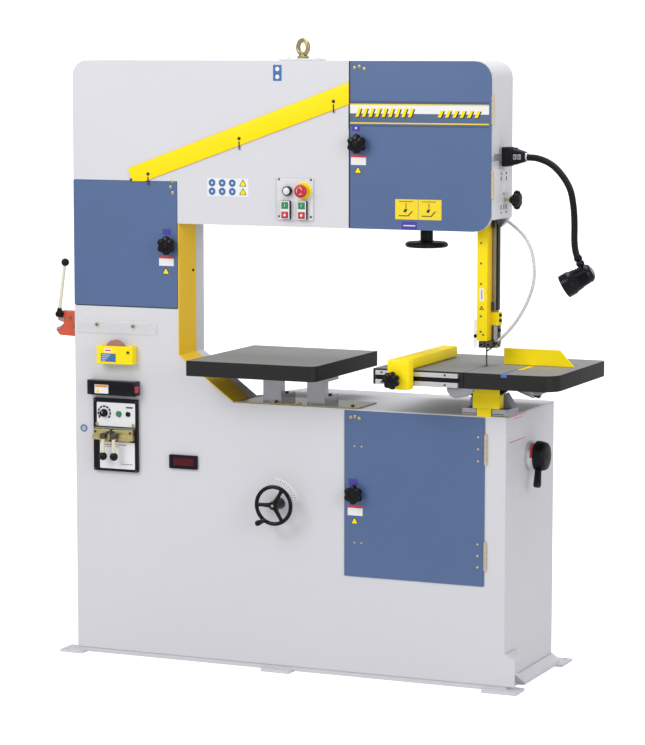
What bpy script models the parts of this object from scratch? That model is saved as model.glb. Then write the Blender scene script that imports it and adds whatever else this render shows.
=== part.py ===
"""A three-wheel vertical band saw for metal, with a deep throat, two tables, a blade welder and a work lamp.

The model is laid out in the machine's own coordinates: X runs along the front from the column's left side,
Y runs from the front panel to the back, and Z runs up from the floor. The empty named machine carries every
piece and centres the whole on the scene's origin. Lengths are in metres.
"""

import math

import bmesh
import bpy
from mathutils import Matrix, Vector

# The frame's driving dimensions
FRAME_HEIGHT = 1.907
BASE_LENGTH = 1.467
BASE_DEPTH = 0.4445
BASE_TOP = 0.8424
COLUMN_WIDTH = 0.3705
HEAD_DEPTH = 0.185
ARM_LENGTH = 1.4148
ARM_BOTTOM = 1.398
DOOR_SPLIT = 0.954
RAIL_TOP = 0.018
SHEET = 0.003
GAP = 0.0004
CORNER = 0.05
ARM_CORNER = 0.055
GUSSET_TOP = 0.983
GUSSET_FOOT = 0.5598
THROAT_CORNERS = [(COLUMN_WIDTH - SHEET / 2, GUSSET_TOP - 0.0006), (GUSSET_FOOT, BASE_TOP - SHEET / 2)]
STEP_REACH = 1.5016
STEP_HEIGHT = 0.1005

# Doors: left, right, bottom and top edges
LEFT_DOOR = (0.0, 0.3676, 1.1316, 1.5290)
UPPER_DOOR = (0.9545, ARM_LENGTH, ARM_BOTTOM, FRAME_HEIGHT)
LOWER_DOOR = (0.9407, 1.4008, 0.3213, 0.8385)
LIP_DEPTH = 0.020

# Blade and wheels: centre along X, centre along Z, radius
BLADE_X = 1.3705
BLADE_Y = 0.0906
BLADE_WIDTH = 0.012
BLADE_THICK = 0.0012
WHEEL_RADIUS = 0.2146
UPPER_WHEEL = (BLADE_X - WHEEL_RADIUS, 1.654, WHEEL_RADIUS)
LOWER_WHEEL = (BLADE_X - WHEEL_RADIUS, 0.580, WHEEL_RADIUS)
LEFT_WHEEL = (0.185, 1.345, 0.170)
WHEEL_WIDTH = 0.030
RIM_CLEARANCE = 0.0020
SHAFT_RADIUS = 0.020

# Drive: the motor sits low behind the lower wheel
MOTOR = (0.760, 0.240)
MOTOR_RADIUS = 0.085
PULLEY_Y = (0.330, 0.366)
SHAFT_PULLEY_RADIUS = 0.095
MOTOR_PULLEY_RADIUS = 0.045
BELT_THICK = 0.009

# Tables
TABLE_TOP = 0.9856
TABLE_THICK = 0.048
LEFT_TABLE = (0.470, 0.906, -0.150, 0.347)
RIGHT_TABLE = (1.078, 1.659, -0.105, 0.372)
INSERT_RADIUS = 0.032
TRUNNION_RADIUS = 0.100
TRUNNION_PLACE = (0.068, 0.108)
CRADLE_SIDES = (1.3266, 1.4660)
CRADLE_DEPTH = (0.006, 0.113)
GROOVE_X = 1.498
GROOVE_WIDTH = 0.020
GROOVE_DEPTH = 0.010

# Guide post
POST_X = (1.3790, 1.3970)
POST_Y = (0.100, 0.125)
POST_FOOT = 1.149
POST_TOP = 1.600
LOCK_Z = 1.4904

# Work lamp
LAMP_BASE = (1.418, 0.090, 1.6214)
LAMP_NECK = [
    (1.490, 0.090, 1.620),
    (1.531, 0.090, 1.617),
    (1.574, 0.090, 1.599),
    (1.608, 0.089, 1.567),
    (1.633, 0.087, 1.527),
    (1.645, 0.084, 1.479),
    (1.650, 0.081, 1.427),
    (1.652, 0.076, 1.375),
    (1.658, 0.072, 1.341),
    (1.669, 0.068, 1.317),
]
NECK_RADIUS = 0.0105
LAMP_PIVOT = (1.674, 0.067, 1.308)
LAMP_REAR = (1.709, 0.066, 1.286)
LAMP_FRONT = (1.630, 0.050, 1.238)

# Air hose: from the arm's end down to the guide head
HOSE = [
    (1.3960, 0.1520, 1.4600),
    (1.4000, 0.1510, 1.4380),
    (1.4180, 0.1460, 1.4220),
    (1.4429, 0.1340, 1.4080),
    (1.4790, 0.1200, 1.3800),
    (1.5060, 0.1080, 1.3380),
    (1.5180, 0.1000, 1.2860),
    (1.5160, 0.0940, 1.2340),
    (1.4950, 0.0920, 1.1750),
    (1.4620, 0.0920, 1.1210),
    (1.4300, 0.0940, 1.0850),
    (1.4120, 0.0960, 1.0680),
]
HOSE_RADIUS = 0.005

# Controls: the plate's and the welder's faces along Y, and places along X and Z
PLATE_FACE = -0.004
HOUSING_FACE = -0.0165
HOUSING_SIZE = (0.0310, 0.0575)
HOUSING_MIDDLE = 1.4503
WELL_FLOOR = -0.008
BUTTON_SIZE = (0.022, 0.020)
BUTTONS = {
    "start_button_left": (0.7464, 1.4645, "green"),
    "start_button_right": (0.8023, 1.4645, "green"),
    "stop_button_left": (0.7464, 1.4350, "red"),
    "stop_button_right": (0.8023, 1.4350, "red"),
}
STOP_PLACE = (0.8040, 1.5100)
STOP_STEM_RADIUS = 0.011
WELDER_FACE = -0.014
WELD_BUTTON_PLACE = (0.1642, 0.7867)
WELD_BUTTON_RADIUS = 0.0075

# The footprint's middle, which stands on the scene's origin
FOOTPRINT_MIDDLE = (0.8227, 0.1545)

GREY = (0.70, 0.70, 0.73)
BLUE = (0.13, 0.19, 0.32)
YELLOW = (0.95, 0.78, 0.02)
DARK = (0.045, 0.045, 0.045)
BLACK = (0.012, 0.012, 0.015)
RED = (0.60, 0.06, 0.03)
GREEN = (0.01, 0.30, 0.10)
WHITE = (0.80, 0.80, 0.80)
STEEL = (0.45, 0.45, 0.45)
STONE = (0.50, 0.28, 0.22)
CLEAR = (0.75, 0.78, 0.78)

PARTS = None
CUTTERS = None
MACHINE = None


# Scene set-up


def clear_scene():
    """Removes whatever the file holds, and makes the collections and the empty that carries the machine."""
    global PARTS, CUTTERS, MACHINE
    for obj in list(bpy.data.objects):
        bpy.data.objects.remove(obj, do_unlink=True)
    PARTS = bpy.data.collections.new("band_saw")
    CUTTERS = bpy.data.collections.new("cutters")
    for collection in (PARTS, CUTTERS):
        bpy.context.scene.collection.children.link(collection)
    MACHINE = bpy.data.objects.new("machine", None)
    PARTS.objects.link(MACHINE)
    MACHINE.location = (-FOOTPRINT_MIDDLE[0], -FOOTPRINT_MIDDLE[1], 0)


def material(name, colour, roughness=0.5, metallic=0.0):
    """A Principled BSDF of this colour, made once for each name."""
    found = bpy.data.materials.get(name)
    if found:
        return found
    made = bpy.data.materials.new(name)
    made.use_nodes = True
    shader = made.node_tree.nodes["Principled BSDF"]
    shader.inputs["Base Color"].default_value = (*colour, 1)
    shader.inputs["Roughness"].default_value = roughness
    shader.inputs["Metallic"].default_value = metallic
    return made


def paint(colour_name):
    """The finish that a colour's name stands for."""
    finishes = {
        "grey": (GREY, 0.45, 0.0),
        "blue": (BLUE, 0.45, 0.0),
        "yellow": (YELLOW, 0.4, 0.0),
        "dark": (DARK, 0.5, 0.0),
        "black": (BLACK, 0.4, 0.0),
        "red": (RED, 0.4, 0.0),
        "green": (GREEN, 0.4, 0.0),
        "white": (WHITE, 0.4, 0.0),
        "steel": (STEEL, 0.35, 1.0),
        "stone": (STONE, 0.9, 0.0),
        "clear": (CLEAR, 0.3, 0.0),
    }
    colour, roughness, metallic = finishes[colour_name]
    return material(colour_name, colour, roughness, metallic)


# Solids


def add(name, mesh):
    """A new object of this mesh, carried by the machine."""
    obj = bpy.data.objects.new(name, mesh)
    PARTS.objects.link(obj)
    obj.parent = MACHINE
    return obj


def as_mesh(obj):
    """The object's evaluated shape as a plain mesh object in the machine's coordinates, in its place."""
    bpy.context.view_layer.update()
    evaluated = obj.evaluated_get(bpy.context.evaluated_depsgraph_get())
    mesh = bpy.data.meshes.new_from_object(evaluated)
    mesh.transform(obj.matrix_world)
    shape = bmesh.new()
    shape.from_mesh(mesh)
    bmesh.ops.remove_doubles(shape, verts=shape.verts, dist=1e-5)
    shape.to_mesh(mesh)
    shape.free()
    name = obj.name
    bpy.data.objects.remove(obj, do_unlink=True)
    return add(name, mesh)


def loose(name, data, turn=None, at=(0, 0, 0)):
    """An object that isn't parented yet, so that as_mesh reads it in the machine's coordinates."""
    obj = bpy.data.objects.new(name, data)
    bpy.context.scene.collection.objects.link(obj)
    obj.matrix_world = Matrix.Translation(at) @ (turn or Matrix()).to_4x4()
    return obj


def bevel(obj, width, segments=1):
    """Rounds or chamfers the sharp edges."""
    modifier = obj.modifiers.new("edges", "BEVEL")
    modifier.width = width
    modifier.segments = segments
    modifier.limit_method = "ANGLE"
    modifier.angle_limit = math.radians(40)
    return obj


def block(name, low, high, edge=0.0, segments=1):
    """A box between two corners, with its edges eased."""
    mesh = bpy.data.meshes.new(name)
    shape = bmesh.new()
    bmesh.ops.create_cube(shape, size=1)
    size = [b - a for a, b in zip(low, high)]
    middle = [(a + b) / 2 for a, b in zip(low, high)]
    bmesh.ops.scale(shape, vec=size, verts=shape.verts)
    bmesh.ops.translate(shape, vec=middle, verts=shape.verts)
    shape.to_mesh(mesh)
    shape.free()
    obj = add(name, mesh)
    return bevel(obj, edge, segments) if edge else obj


def rod(name, start, end, radius, end_radius=None, sides=24):
    """A round bar or cone between two points."""
    start, end = Vector(start), Vector(end)
    along = end - start
    mesh = bpy.data.meshes.new(name)
    shape = bmesh.new()
    bmesh.ops.create_cone(
        shape,
        cap_ends=True,
        segments=sides,
        radius1=radius,
        radius2=radius if end_radius is None else end_radius,
        depth=along.length,
    )
    turn = along.to_track_quat("Z", "Y").to_matrix().to_4x4()
    bmesh.ops.transform(shape, matrix=Matrix.Translation((start + end) / 2) @ turn, verts=shape.verts)
    shape.to_mesh(mesh)
    shape.free()
    return add(name, mesh)


def ball(name, at, radius, rings=10, sides=16):
    """A sphere."""
    mesh = bpy.data.meshes.new(name)
    shape = bmesh.new()
    bmesh.ops.create_uvsphere(shape, u_segments=sides, v_segments=rings, radius=radius)
    bmesh.ops.translate(shape, vec=at, verts=shape.verts)
    shape.to_mesh(mesh)
    shape.free()
    return add(name, mesh)


PLANES = {
    "XY": Matrix(((1, 0, 0), (0, 1, 0), (0, 0, 1))),
    "XZ": Matrix(((1, 0, 0), (0, 0, -1), (0, 1, 0))),
    "YZ": Matrix(((0, 0, 1), (1, 0, 0), (0, 1, 0))),
}


def profile(name, outlines, plane, low, high):
    """Flat outlines in a plane, with any inner ones as holes, made solid from low to high across it."""
    data = bpy.data.curves.new(name, "CURVE")
    data.dimensions = "2D"
    data.fill_mode = "BOTH"
    data.extrude = (high - low) / 2
    for outline in outlines:
        spline = data.splines.new("POLY")
        spline.points.add(len(outline) - 1)
        for point, (across, up) in zip(spline.points, outline):
            point.co = (across, up, 0, 1)
        spline.use_cyclic_u = True
    turn = PLANES[plane]
    at = turn @ Vector((0, 0, (low + high) / 2))
    if plane == "XZ":
        at = -at
    return as_mesh(loose(name, data, turn, at))


def turned(name, outline, at, axis, steps=32):
    """An outline of (radius, place along the axis) turned about an axis through a point, top to bottom."""
    mesh = bpy.data.meshes.new(name)
    points = [(radius, 0, along) for radius, along in outline]
    closed = outline[0][0] > 0
    edges = [(i, i + 1) for i in range(len(points) - 1)]
    if closed:
        edges.append((len(points) - 1, 0))
    mesh.from_pydata(points, edges, [])
    turn = Vector(axis).to_track_quat("Z", "Y").to_matrix()
    obj = loose(name, mesh, turn, at)
    screw = obj.modifiers.new("turn", "SCREW")
    screw.steps = screw.render_steps = steps
    screw.use_merge_vertices = True
    screw.merge_threshold = 0.0001
    return as_mesh(obj)


def tube(name, points, radius, resolution=2):
    """A round tube through points, with flat ends."""
    data = bpy.data.curves.new(name, "CURVE")
    data.dimensions = "3D"
    data.bevel_depth = radius
    data.bevel_resolution = resolution
    data.use_fill_caps = True
    spline = data.splines.new("POLY")
    spline.points.add(len(points) - 1)
    for point, place in zip(spline.points, points):
        point.co = (*place, 1)
    return as_mesh(loose(name, data))


def combine(obj, operation, others):
    """Cuts the others from the object, or joins them to it."""
    for other in others:
        modifier = obj.modifiers.new(operation.lower(), "BOOLEAN")
        modifier.operation = operation
        modifier.object = other
        PARTS.objects.unlink(other)
        CUTTERS.objects.link(other)
        other.hide_render = True
        other.display_type = "WIRE"
    return obj


def cut(obj, *others):
    return combine(obj, "DIFFERENCE", others)


def join(obj, *others):
    return combine(obj, "UNION", others)


def done(obj, colour_name, pivot=None):
    """Gives a piece its finish and its shading, and puts its origin on its joint's axis."""
    obj.data.materials.clear()
    obj.data.materials.append(paint(colour_name))
    obj.data.shade_smooth()
    obj.data.set_sharp_from_angle(angle=math.radians(35))
    if pivot:
        obj.data.transform(Matrix.Translation(-Vector(pivot)))
        obj.location = pivot
    return obj


# Outlines


def arc(centre, radius, start, end, steps):
    """Points along an arc, in degrees anticlockwise."""
    angles = [math.radians(start + (end - start) * i / steps) for i in range(steps + 1)]
    return [(centre[0] + radius * math.cos(a), centre[1] + radius * math.sin(a)) for a in angles]


def circle(centre, radius, sides=24):
    return arc(centre, radius, 0, 360, sides)[:-1]


def rectangle(left, right, bottom, top):
    return [(left, bottom), (right, bottom), (right, top), (left, top)]


def offset(path, distance):
    """The path moved sideways, to its left as it is walked, with mitred bends."""
    moved = []
    for i, point in enumerate(path):
        here = Vector(point)
        before = (here - Vector(path[i - 1])).normalized() if i else None
        after = (Vector(path[i + 1]) - here).normalized() if i < len(path) - 1 else None
        along = ((before or after) + (after or before)).normalized()
        normal = Vector((-along.y, along.x))
        straight = before or after
        reach = distance / max(0.3, normal.dot(Vector((-straight.y, straight.x))))
        moved.append(tuple(here + normal * reach))
    return moved


def thicken(path, thickness):
    """The outline of a bent sheet, half its thickness to each side of a path."""
    return offset(path, thickness / 2) + offset(path, -thickness / 2)[::-1]


def grow(wheel, by):
    return (wheel[0], wheel[1], wheel[2] + by)


def loop_around(wheels, steps=14):
    """A closed loop round circles, listed anticlockwise, along their outer tangents."""
    points = []
    count = len(wheels)
    for i, (x, z, radius) in enumerate(wheels):
        turns = []
        for a, b in ((wheels[i - 1], wheels[i]), (wheels[i], wheels[(i + 1) % count])):
            dx, dz = b[0] - a[0], b[1] - a[1]
            lean = math.asin((a[2] - b[2]) / math.hypot(dx, dz))
            turns.append(math.degrees(math.atan2(dz, dx) + lean) - 90)
        start, end = turns
        while end < start:
            end += 360
        while end > start + 360:
            end -= 360
        points += arc((x, z), radius, start, end, steps)
    return points


def rounded_box(left, right, bottom, top, radius, steps=4):
    """A rectangle with its four corners rounded."""
    return (
        arc((right - radius, bottom + radius), radius, -90, 0, steps)
        + arc((right - radius, top - radius), radius, 0, 90, steps)
        + arc((left + radius, top - radius), radius, 90, 180, steps)
        + arc((left + radius, bottom + radius), radius, 180, 270, steps)
    )


# The welded frame


def base_frame():
    """The floor plate with its foot plates, and the pocket that the front panel's step closes."""
    plan = [
        (0.004, 0.004),
        (1.4700, 0.004),
        (1.4700, BASE_DEPTH - 0.002),
        (0.620, BASE_DEPTH - 0.002),
        (0.530, HEAD_DEPTH - 0.002),
        (0.004, HEAD_DEPTH - 0.002),
    ]
    frame = profile("base_frame", [plan], "XY", 0.002, RAIL_TOP - GAP)
    foot_places = [
        (-0.050, 0.030, -0.030, 0.050),
        (-0.050, 0.030, 0.130, 0.200),
        (0.668, 0.766, -0.035, 0.040),
        (1.405, 1.518, -0.035, 0.045),
        (1.440, 1.518, 0.400, 0.500),
        (0.668, 0.766, 0.400, 0.500),
    ]
    feet = []
    for i, (left, right, front, back) in enumerate(foot_places):
        x, y = foot_bolt_x(left, right), foot_bolt_y(front, back)
        foot = block(f"foot_{i}", (left, front, 0), (right, back, 0.009))
        hole = rod(f"foot_hole_{i}", (x, y, -0.01), (x, y, 0.02), 0.0075, sides=16)
        feet.append(cut(foot, hole))
    rail = profile(
        "side_rail",
        [[(1.4690, 0.003), (1.4960, 0.003), (1.4960, 0.016), (1.4740, 0.034), (1.4690, 0.034)]],
        "XZ",
        0.105,
        BASE_DEPTH - 0.004,
    )
    pocket_roof = profile(
        "pocket_roof",
        [[(1.4690, 0.1130), (STEP_REACH, 0.0960), (STEP_REACH, 0.0995), (1.4690, 0.1165)]],
        "XZ",
        0.0034,
        0.090,
    )
    pocket_wall = block("pocket_wall", (1.4690, 0.0034, 0.003), (1.4740, 0.1060, 0.1140))
    brace_side = [(0.0040, 0.0600), (0.1070, 0.0080), (0.1070, 0.0150), (0.0040, 0.0670)]
    brace = profile("pocket_brace", [brace_side], "YZ", 1.4700, 1.4990)
    return done(join(frame, *feet, rail, pocket_wall, pocket_roof, brace), "grey")


def foot_bolt_x(left, right):
    """The bolt stands at the outer end of a corner's foot plate, and in the middle of the others."""
    if left < 0:
        return left + 0.020
    if right > BASE_LENGTH:
        return right - 0.020
    return (left + right) / 2


def foot_bolt_y(front, back):
    """The bolt stands clear of the panel, in front of it or behind it."""
    return front + 0.014 if front < 0 else back - 0.014


def base_front_panel():
    left, right, bottom, top = LOWER_DOOR
    outline = [
        (0, RAIL_TOP),
        (STEP_REACH, RAIL_TOP),
        (STEP_REACH, STEP_HEIGHT),
        (BASE_LENGTH + 0.012, STEP_HEIGHT + 0.010),
        (BASE_LENGTH + 0.002, STEP_HEIGHT + 0.018),
        (BASE_LENGTH, STEP_HEIGHT + 0.030),
        (BASE_LENGTH, BASE_TOP),
        (GUSSET_FOOT, BASE_TOP),
        (COLUMN_WIDTH, GUSSET_TOP),
        (COLUMN_WIDTH, LEFT_DOOR[2] - 0.0008),
        (0, LEFT_DOOR[2] - 0.0008),
    ]
    inset = 0.0125
    opening = rectangle(left + inset, right - inset, bottom + inset, top - inset)
    shaft_hole = circle((0.7226, 0.5340), 0.010, 16)
    return done(profile("base_front_panel", [outline, opening, shaft_hole], "XZ", 0, SHEET), "grey")


def base_shell():
    """The base's right side and its back, bent from one sheet. The back steps in to the column's depth."""
    half = SHEET / 2
    path = [
        (BASE_LENGTH - half, SHEET + GAP),
        (BASE_LENGTH - half, BASE_DEPTH - half),
        (0.620, BASE_DEPTH - half),
        (0.530, HEAD_DEPTH - half),
        (COLUMN_WIDTH + 0.0008, HEAD_DEPTH - half),
    ]
    shell = profile("base_shell", [thicken(path, SHEET)], "XY", RAIL_TOP, BASE_TOP - SHEET - GAP)
    drum_hole = rod("drum_hole", (1.45, 0.2150, 0.6990), (1.48, 0.2150, 0.6990), 0.012, sides=16)
    return done(cut(shell, drum_hole), "grey")


def base_top_panel():
    plan = [
        (GUSSET_FOOT + 0.004, SHEET + GAP),
        (BASE_LENGTH - 0.0001, SHEET + GAP),
        (BASE_LENGTH - 0.0001, BASE_DEPTH - 0.0001),
        (0.6215, BASE_DEPTH - 0.0001),
        (GUSSET_FOOT + 0.004, 0.2700),
    ]
    blade_opening = rectangle(1.325, 1.420, 0.060, 0.140)
    return done(profile("base_top_panel", [plan, blade_opening], "XY", BASE_TOP - SHEET, BASE_TOP), "grey")


def throat_panel():
    """The sheet that lines the throat: under the arm, down the column and down the slanted gusset."""
    half = SHEET / 2
    path = [(1.325, ARM_BOTTOM + half), (COLUMN_WIDTH - half, ARM_BOTTOM + half), *THROAT_CORNERS]
    panel = profile("throat_panel", [thicken(path, SHEET)], "XZ", SHEET + GAP, HEAD_DEPTH - SHEET - GAP)
    screw_x, _, _ = UPPER_WHEEL
    screw_hole = rod("screw_hole", (screw_x, 0.135, 1.38), (screw_x, 0.135, 1.42), 0.0135, sides=16)
    blade_corner = block("blade_corner", (1.30, 0.05, 1.38), (1.36, 0.15, 1.42))
    return done(cut(panel, screw_hole, blade_corner), "grey")


def left_side_panel():
    top = FRAME_HEIGHT - CORNER - GAP
    return done(block("left_side_panel", (0, SHEET + GAP, RAIL_TOP), (SHEET, HEAD_DEPTH, top)), "grey")


def rear_panel():
    """The back of the column and of the arm, which also carries the left wheel's shaft."""
    inner = SHEET + 2 * GAP
    radius = CORNER - inner
    arm_radius = ARM_CORNER - inner
    top = FRAME_HEIGHT - inner
    left, right = inner, ARM_LENGTH - inner
    outline = (
        [(left, RAIL_TOP), (COLUMN_WIDTH, RAIL_TOP), (COLUMN_WIDTH, ARM_BOTTOM)]
        + arc((right - arm_radius, ARM_BOTTOM + arm_radius + inner), arm_radius, -90, 0, 4)
        + arc((right - radius, top - radius), radius, 0, 90, 4)
        + arc((left + radius, top - radius), radius, 90, 180, 4)
    )
    return done(profile("rear_panel", [outline], "XZ", HEAD_DEPTH - SHEET, HEAD_DEPTH), "grey")


def arm_front_panel():
    """The front of the arm, from the column's rounded top corner to the upper door."""
    above_door = LEFT_DOOR[3] + 0.0008
    outline = [
        (COLUMN_WIDTH - SHEET / 2, above_door),
        (COLUMN_WIDTH - SHEET / 2, ARM_BOTTOM),
        (DOOR_SPLIT - 0.0012, ARM_BOTTOM),
        (DOOR_SPLIT - 0.0012, FRAME_HEIGHT),
    ]
    outline += arc((CORNER, FRAME_HEIGHT - CORNER), CORNER, 90, 180, 6)
    outline += [(0, above_door)]
    return done(profile("arm_front_panel", [outline], "XZ", 0, SHEET), "grey")


def arm_shell():
    """The top sheet, bent down over both corners, the arm's right end, and the slide block for the post."""
    half = SHEET / 2
    top = FRAME_HEIGHT - half
    left, right = half, ARM_LENGTH - half
    radius, lower_radius = CORNER - half, ARM_CORNER - half
    path = arc((left + radius, top - radius), radius, 180, 90, 6)
    path += arc((right - radius, top - radius), radius, 90, 0, 6)
    path += arc((right - lower_radius, ARM_BOTTOM + ARM_CORNER), lower_radius, 0, -75, 5)
    shell = profile("arm_shell", [thicken(path, SHEET)], "XZ", SHEET + GAP, HEAD_DEPTH)
    post_opening = block("post_opening", (1.30, 0.020, 1.37), (1.43, 0.160, 1.4400))
    knob_hole = rod("knob_hole", (1.39, 0.1125, LOCK_Z), (1.43, 0.1125, LOCK_Z), 0.0065, sides=16)
    eye_hole = rod("eye_hole", (0.7610, 0.090, 1.89), (0.7610, 0.090, 1.92), 0.0100, sides=16)
    slack = 0.0006
    slide = block("post_slide", (1.352, 0.094, 1.455), (1.4125, 0.140, 1.560))
    bore = block(
        "post_bore",
        (POST_X[0] - slack, POST_Y[0] - slack, 1.40),
        (POST_X[1] + slack, POST_Y[1] + slack, 1.60),
    )
    guard_room = block("guard_room", (1.340, 0.070, 1.40), (1.3848, 0.106, 1.60))
    return done(cut(join(shell, slide), post_opening, bore, guard_room, knob_hole, eye_hole), "grey")


def throat_blade_cover():
    """The folded cover over the blade's return run, on the column and down the gusset."""
    thickness = 0.0025
    stand = SHEET / 2 + thickness / 2 + GAP
    lining = [(COLUMN_WIDTH - SHEET / 2, ARM_BOTTOM - 0.0008), *THROAT_CORNERS]
    path = offset(lining, stand)
    return done(profile("throat_blade_cover", [thicken(path, thickness)], "XZ", -0.001, 0.122), "yellow")


# Doors


def door(name, box, y_low, right_radius, inset, pivot):
    """A sheet door with a return flange all round, set in from its edges."""
    left, right, bottom, top = box

    def outline(by):
        """The door's outline, set in by a distance."""
        radius = max(0.004, right_radius - by)
        return (
            [(left + by, bottom + by)]
            + arc((right - by - radius, bottom + by + radius), radius, -90, 0, 5)
            + arc((right - by - radius, top - by - radius), radius, 0, 90, 5)
            + [(left + by, top - by)]
        )

    sheet = SHEET - GAP if y_low < 0 else SHEET
    panel = profile(name, [outline(0)], "XZ", y_low, y_low + sheet)
    ring = [outline(inset), outline(inset + SHEET)]
    lip = profile(f"{name}_lip", ring, "XZ", y_low + sheet / 2, y_low + sheet + LIP_DEPTH)
    return done(join(panel, lip), "blue", pivot)


def latch_knob(name, x, z, y_face=-GAP):
    """A six-lobed locking knob on a short stem, clear of the door's face."""
    lobes = []
    for i in range(36):
        angle = math.radians(10 * i)
        radius = 0.0285 + 0.0035 * math.cos(6 * angle)
        lobes.append((x + radius * math.cos(angle), z + radius * math.sin(angle)))
    head = profile(name, [lobes], "XZ", y_face - 0.032, y_face - 0.012)
    stem = rod(f"{name}_stem", (x, y_face - 0.014, z), (x, y_face, z), 0.013, 0.017, sides=16)
    return done(join(head, stem), "black", (x, y_face, z))


# The band wheels, the blade and the drive


def band_wheel(name, wheel, bore):
    """A spoked-looking disc wheel: flanged rim, thin web with round windows, and a hub."""
    x, z, radius = wheel
    outer = radius - RIM_CLEARANCE
    rim = outer - 0.016
    half = WHEEL_WIDTH / 2
    outline = [
        (bore, 0.022),
        (0.042, 0.022),
        (0.042, 0.006),
        (rim, 0.006),
        (rim, half),
        (outer, half),
        (outer, -half),
        (rim, -half),
        (rim, -0.006),
        (0.042, -0.006),
        (0.042, -0.022),
        (bore, -0.022),
    ]
    disc = turned(name, outline, (x, BLADE_Y, z), (0, 1, 0), 32)
    middle = (0.042 + rim) / 2
    window = (rim - 0.042) * 0.30
    windows = []
    for i in range(5):
        angle = math.radians(90 + 72 * i)
        at_x, at_z = x + middle * math.cos(angle), z + middle * math.sin(angle)
        windows.append(
            rod(f"{name}_window_{i}", (at_x, 0.05, at_z), (at_x, 0.13, at_z), window, sides=12)
        )
    return done(cut(disc, *windows), "steel", (x, BLADE_Y, z))


def wheel_carriage():
    """The sliding block that holds the upper wheel's shaft and takes the tension screw."""
    x, z, _ = UPPER_WHEEL
    body = block("wheel_carriage", (x - 0.055, 0.1160, z - 0.075), (x + 0.055, 0.1780, z + 0.075), 0.003)
    shaft = rod("carriage_shaft", (x, 0.060, z), (x, 0.130, z), SHAFT_RADIUS)
    cap = rod("carriage_shaft_cap", (x, 0.058, z), (x, 0.0680, z), 0.028)
    screw_bore = rod("screw_bore", (x, 0.135, z - 0.10), (x, 0.135, z - 0.03), 0.0110, sides=16)
    return done(cut(join(body, shaft, cap), screw_bore), "steel")


def tension_handwheel():
    """The handwheel below the arm, with the screw that lifts the upper wheel."""
    x, _, _ = UPPER_WHEEL
    outline = [
        (0, 1.3980),
        (0.016, 1.3980),
        (0.020, 1.3900),
        (0.020, 1.3620),
        (0.050, 1.3560),
        (0.055, 1.3585),
        (0.063, 1.3560),
        (0.066, 1.3500),
        (0.063, 1.3430),
        (0.054, 1.3410),
        (0.046, 1.3450),
        (0.018, 1.3450),
        (0.014, 1.3400),
        (0, 1.3400),
    ]
    outline = [(radius, along - 0.0035) for radius, along in outline]
    wheel = turned("tension_handwheel", outline, (x, 0.135, 0), (0, 0, 1), 32)
    screw = rod("tension_screw", (x, 0.135, 1.380), (x, 0.135, 1.600), 0.0095, sides=16)
    return done(join(wheel, screw), "black", (x, 0.135, 1.37))


def left_wheel_shaft():
    """The fixed shaft that the left wheel runs on, with its flange on the column's back."""
    x, z, _ = LEFT_WHEEL
    shaft = rod("left_wheel_shaft", (x, 0.060, z), (x, 0.150, z), SHAFT_RADIUS)
    flange = rod("left_wheel_flange", (x, 0.130, z), (x, HEAD_DEPTH - SHEET - GAP, z), 0.055)
    cap = rod("left_wheel_cap", (x, 0.058, z), (x, 0.0680, z), 0.028)
    return done(join(shaft, flange, cap), "steel")


def drive_shaft():
    """The shaft that turns the lower wheel, with its pulley at the back."""
    x, z, _ = LOWER_WHEEL
    shaft = rod("drive_shaft", (x, 0.060, z), (x, PULLEY_Y[1] + 0.010, z), SHAFT_RADIUS)
    hub = rod("drive_hub", (x, 0.058, z), (x, 0.068, z), 0.028)
    pulley = rod("drive_pulley", (x, PULLEY_Y[0], z), (x, PULLEY_Y[1], z), SHAFT_PULLEY_RADIUS, sides=32)
    return done(join(shaft, hub, pulley), "steel", (x, BLADE_Y, z))


def drive_motor():
    """The motor, standing on its foot bracket on the floor plate."""
    x, z = MOTOR
    body = rod("drive_motor", (x, 0.080, z), (x, 0.300, z), MOTOR_RADIUS, sides=32)
    fan_cover = rod("motor_fan_cover", (x, 0.050, z), (x, 0.090, z), MOTOR_RADIUS * 0.93, sides=32)
    foot = block("motor_foot", (x - 0.075, 0.110, RAIL_TOP), (x + 0.075, 0.270, z - 0.060))
    terminal_box = block("terminal_box", (x - 0.050, 0.140, z + 0.060), (x + 0.050, 0.240, z + 0.115))
    return done(join(body, fan_cover, foot, terminal_box), "dark")


def motor_pulley():
    x, z = MOTOR
    pulley = rod("motor_pulley", (x, PULLEY_Y[0], z), (x, PULLEY_Y[1], z), MOTOR_PULLEY_RADIUS, sides=24)
    shaft = rod("motor_shaft", (x, 0.3005, z), (x, PULLEY_Y[1] + 0.008, z), 0.014, sides=16)
    return done(join(pulley, shaft), "steel", (x, PULLEY_Y[0], z))


def drive_belt():
    x, z, _ = LOWER_WHEEL
    pulleys = [(*MOTOR, MOTOR_PULLEY_RADIUS), (x, z, SHAFT_PULLEY_RADIUS)]
    inner = loop_around([grow(pulley, 0.0012) for pulley in pulleys], 12)
    outer = loop_around([grow(pulley, BELT_THICK) for pulley in pulleys], 12)
    low, high = PULLEY_Y[0] + 0.004, PULLEY_Y[1] - 0.004
    return done(profile("drive_belt", [outer, inner], "XZ", low, high), "black")


def saw_blade():
    """The endless blade round the three wheels."""
    wheels = [LOWER_WHEEL, UPPER_WHEEL, LEFT_WHEEL]
    half = BLADE_WIDTH / 2
    inner = loop_around([grow(wheel, -BLADE_THICK / 2) for wheel in wheels], 20)
    outer = loop_around([grow(wheel, BLADE_THICK / 2) for wheel in wheels], 20)
    return done(profile("saw_blade", [outer, inner], "XZ", BLADE_Y - half, BLADE_Y + half), "steel")


# Tables, fence and mitre gauge


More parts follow.
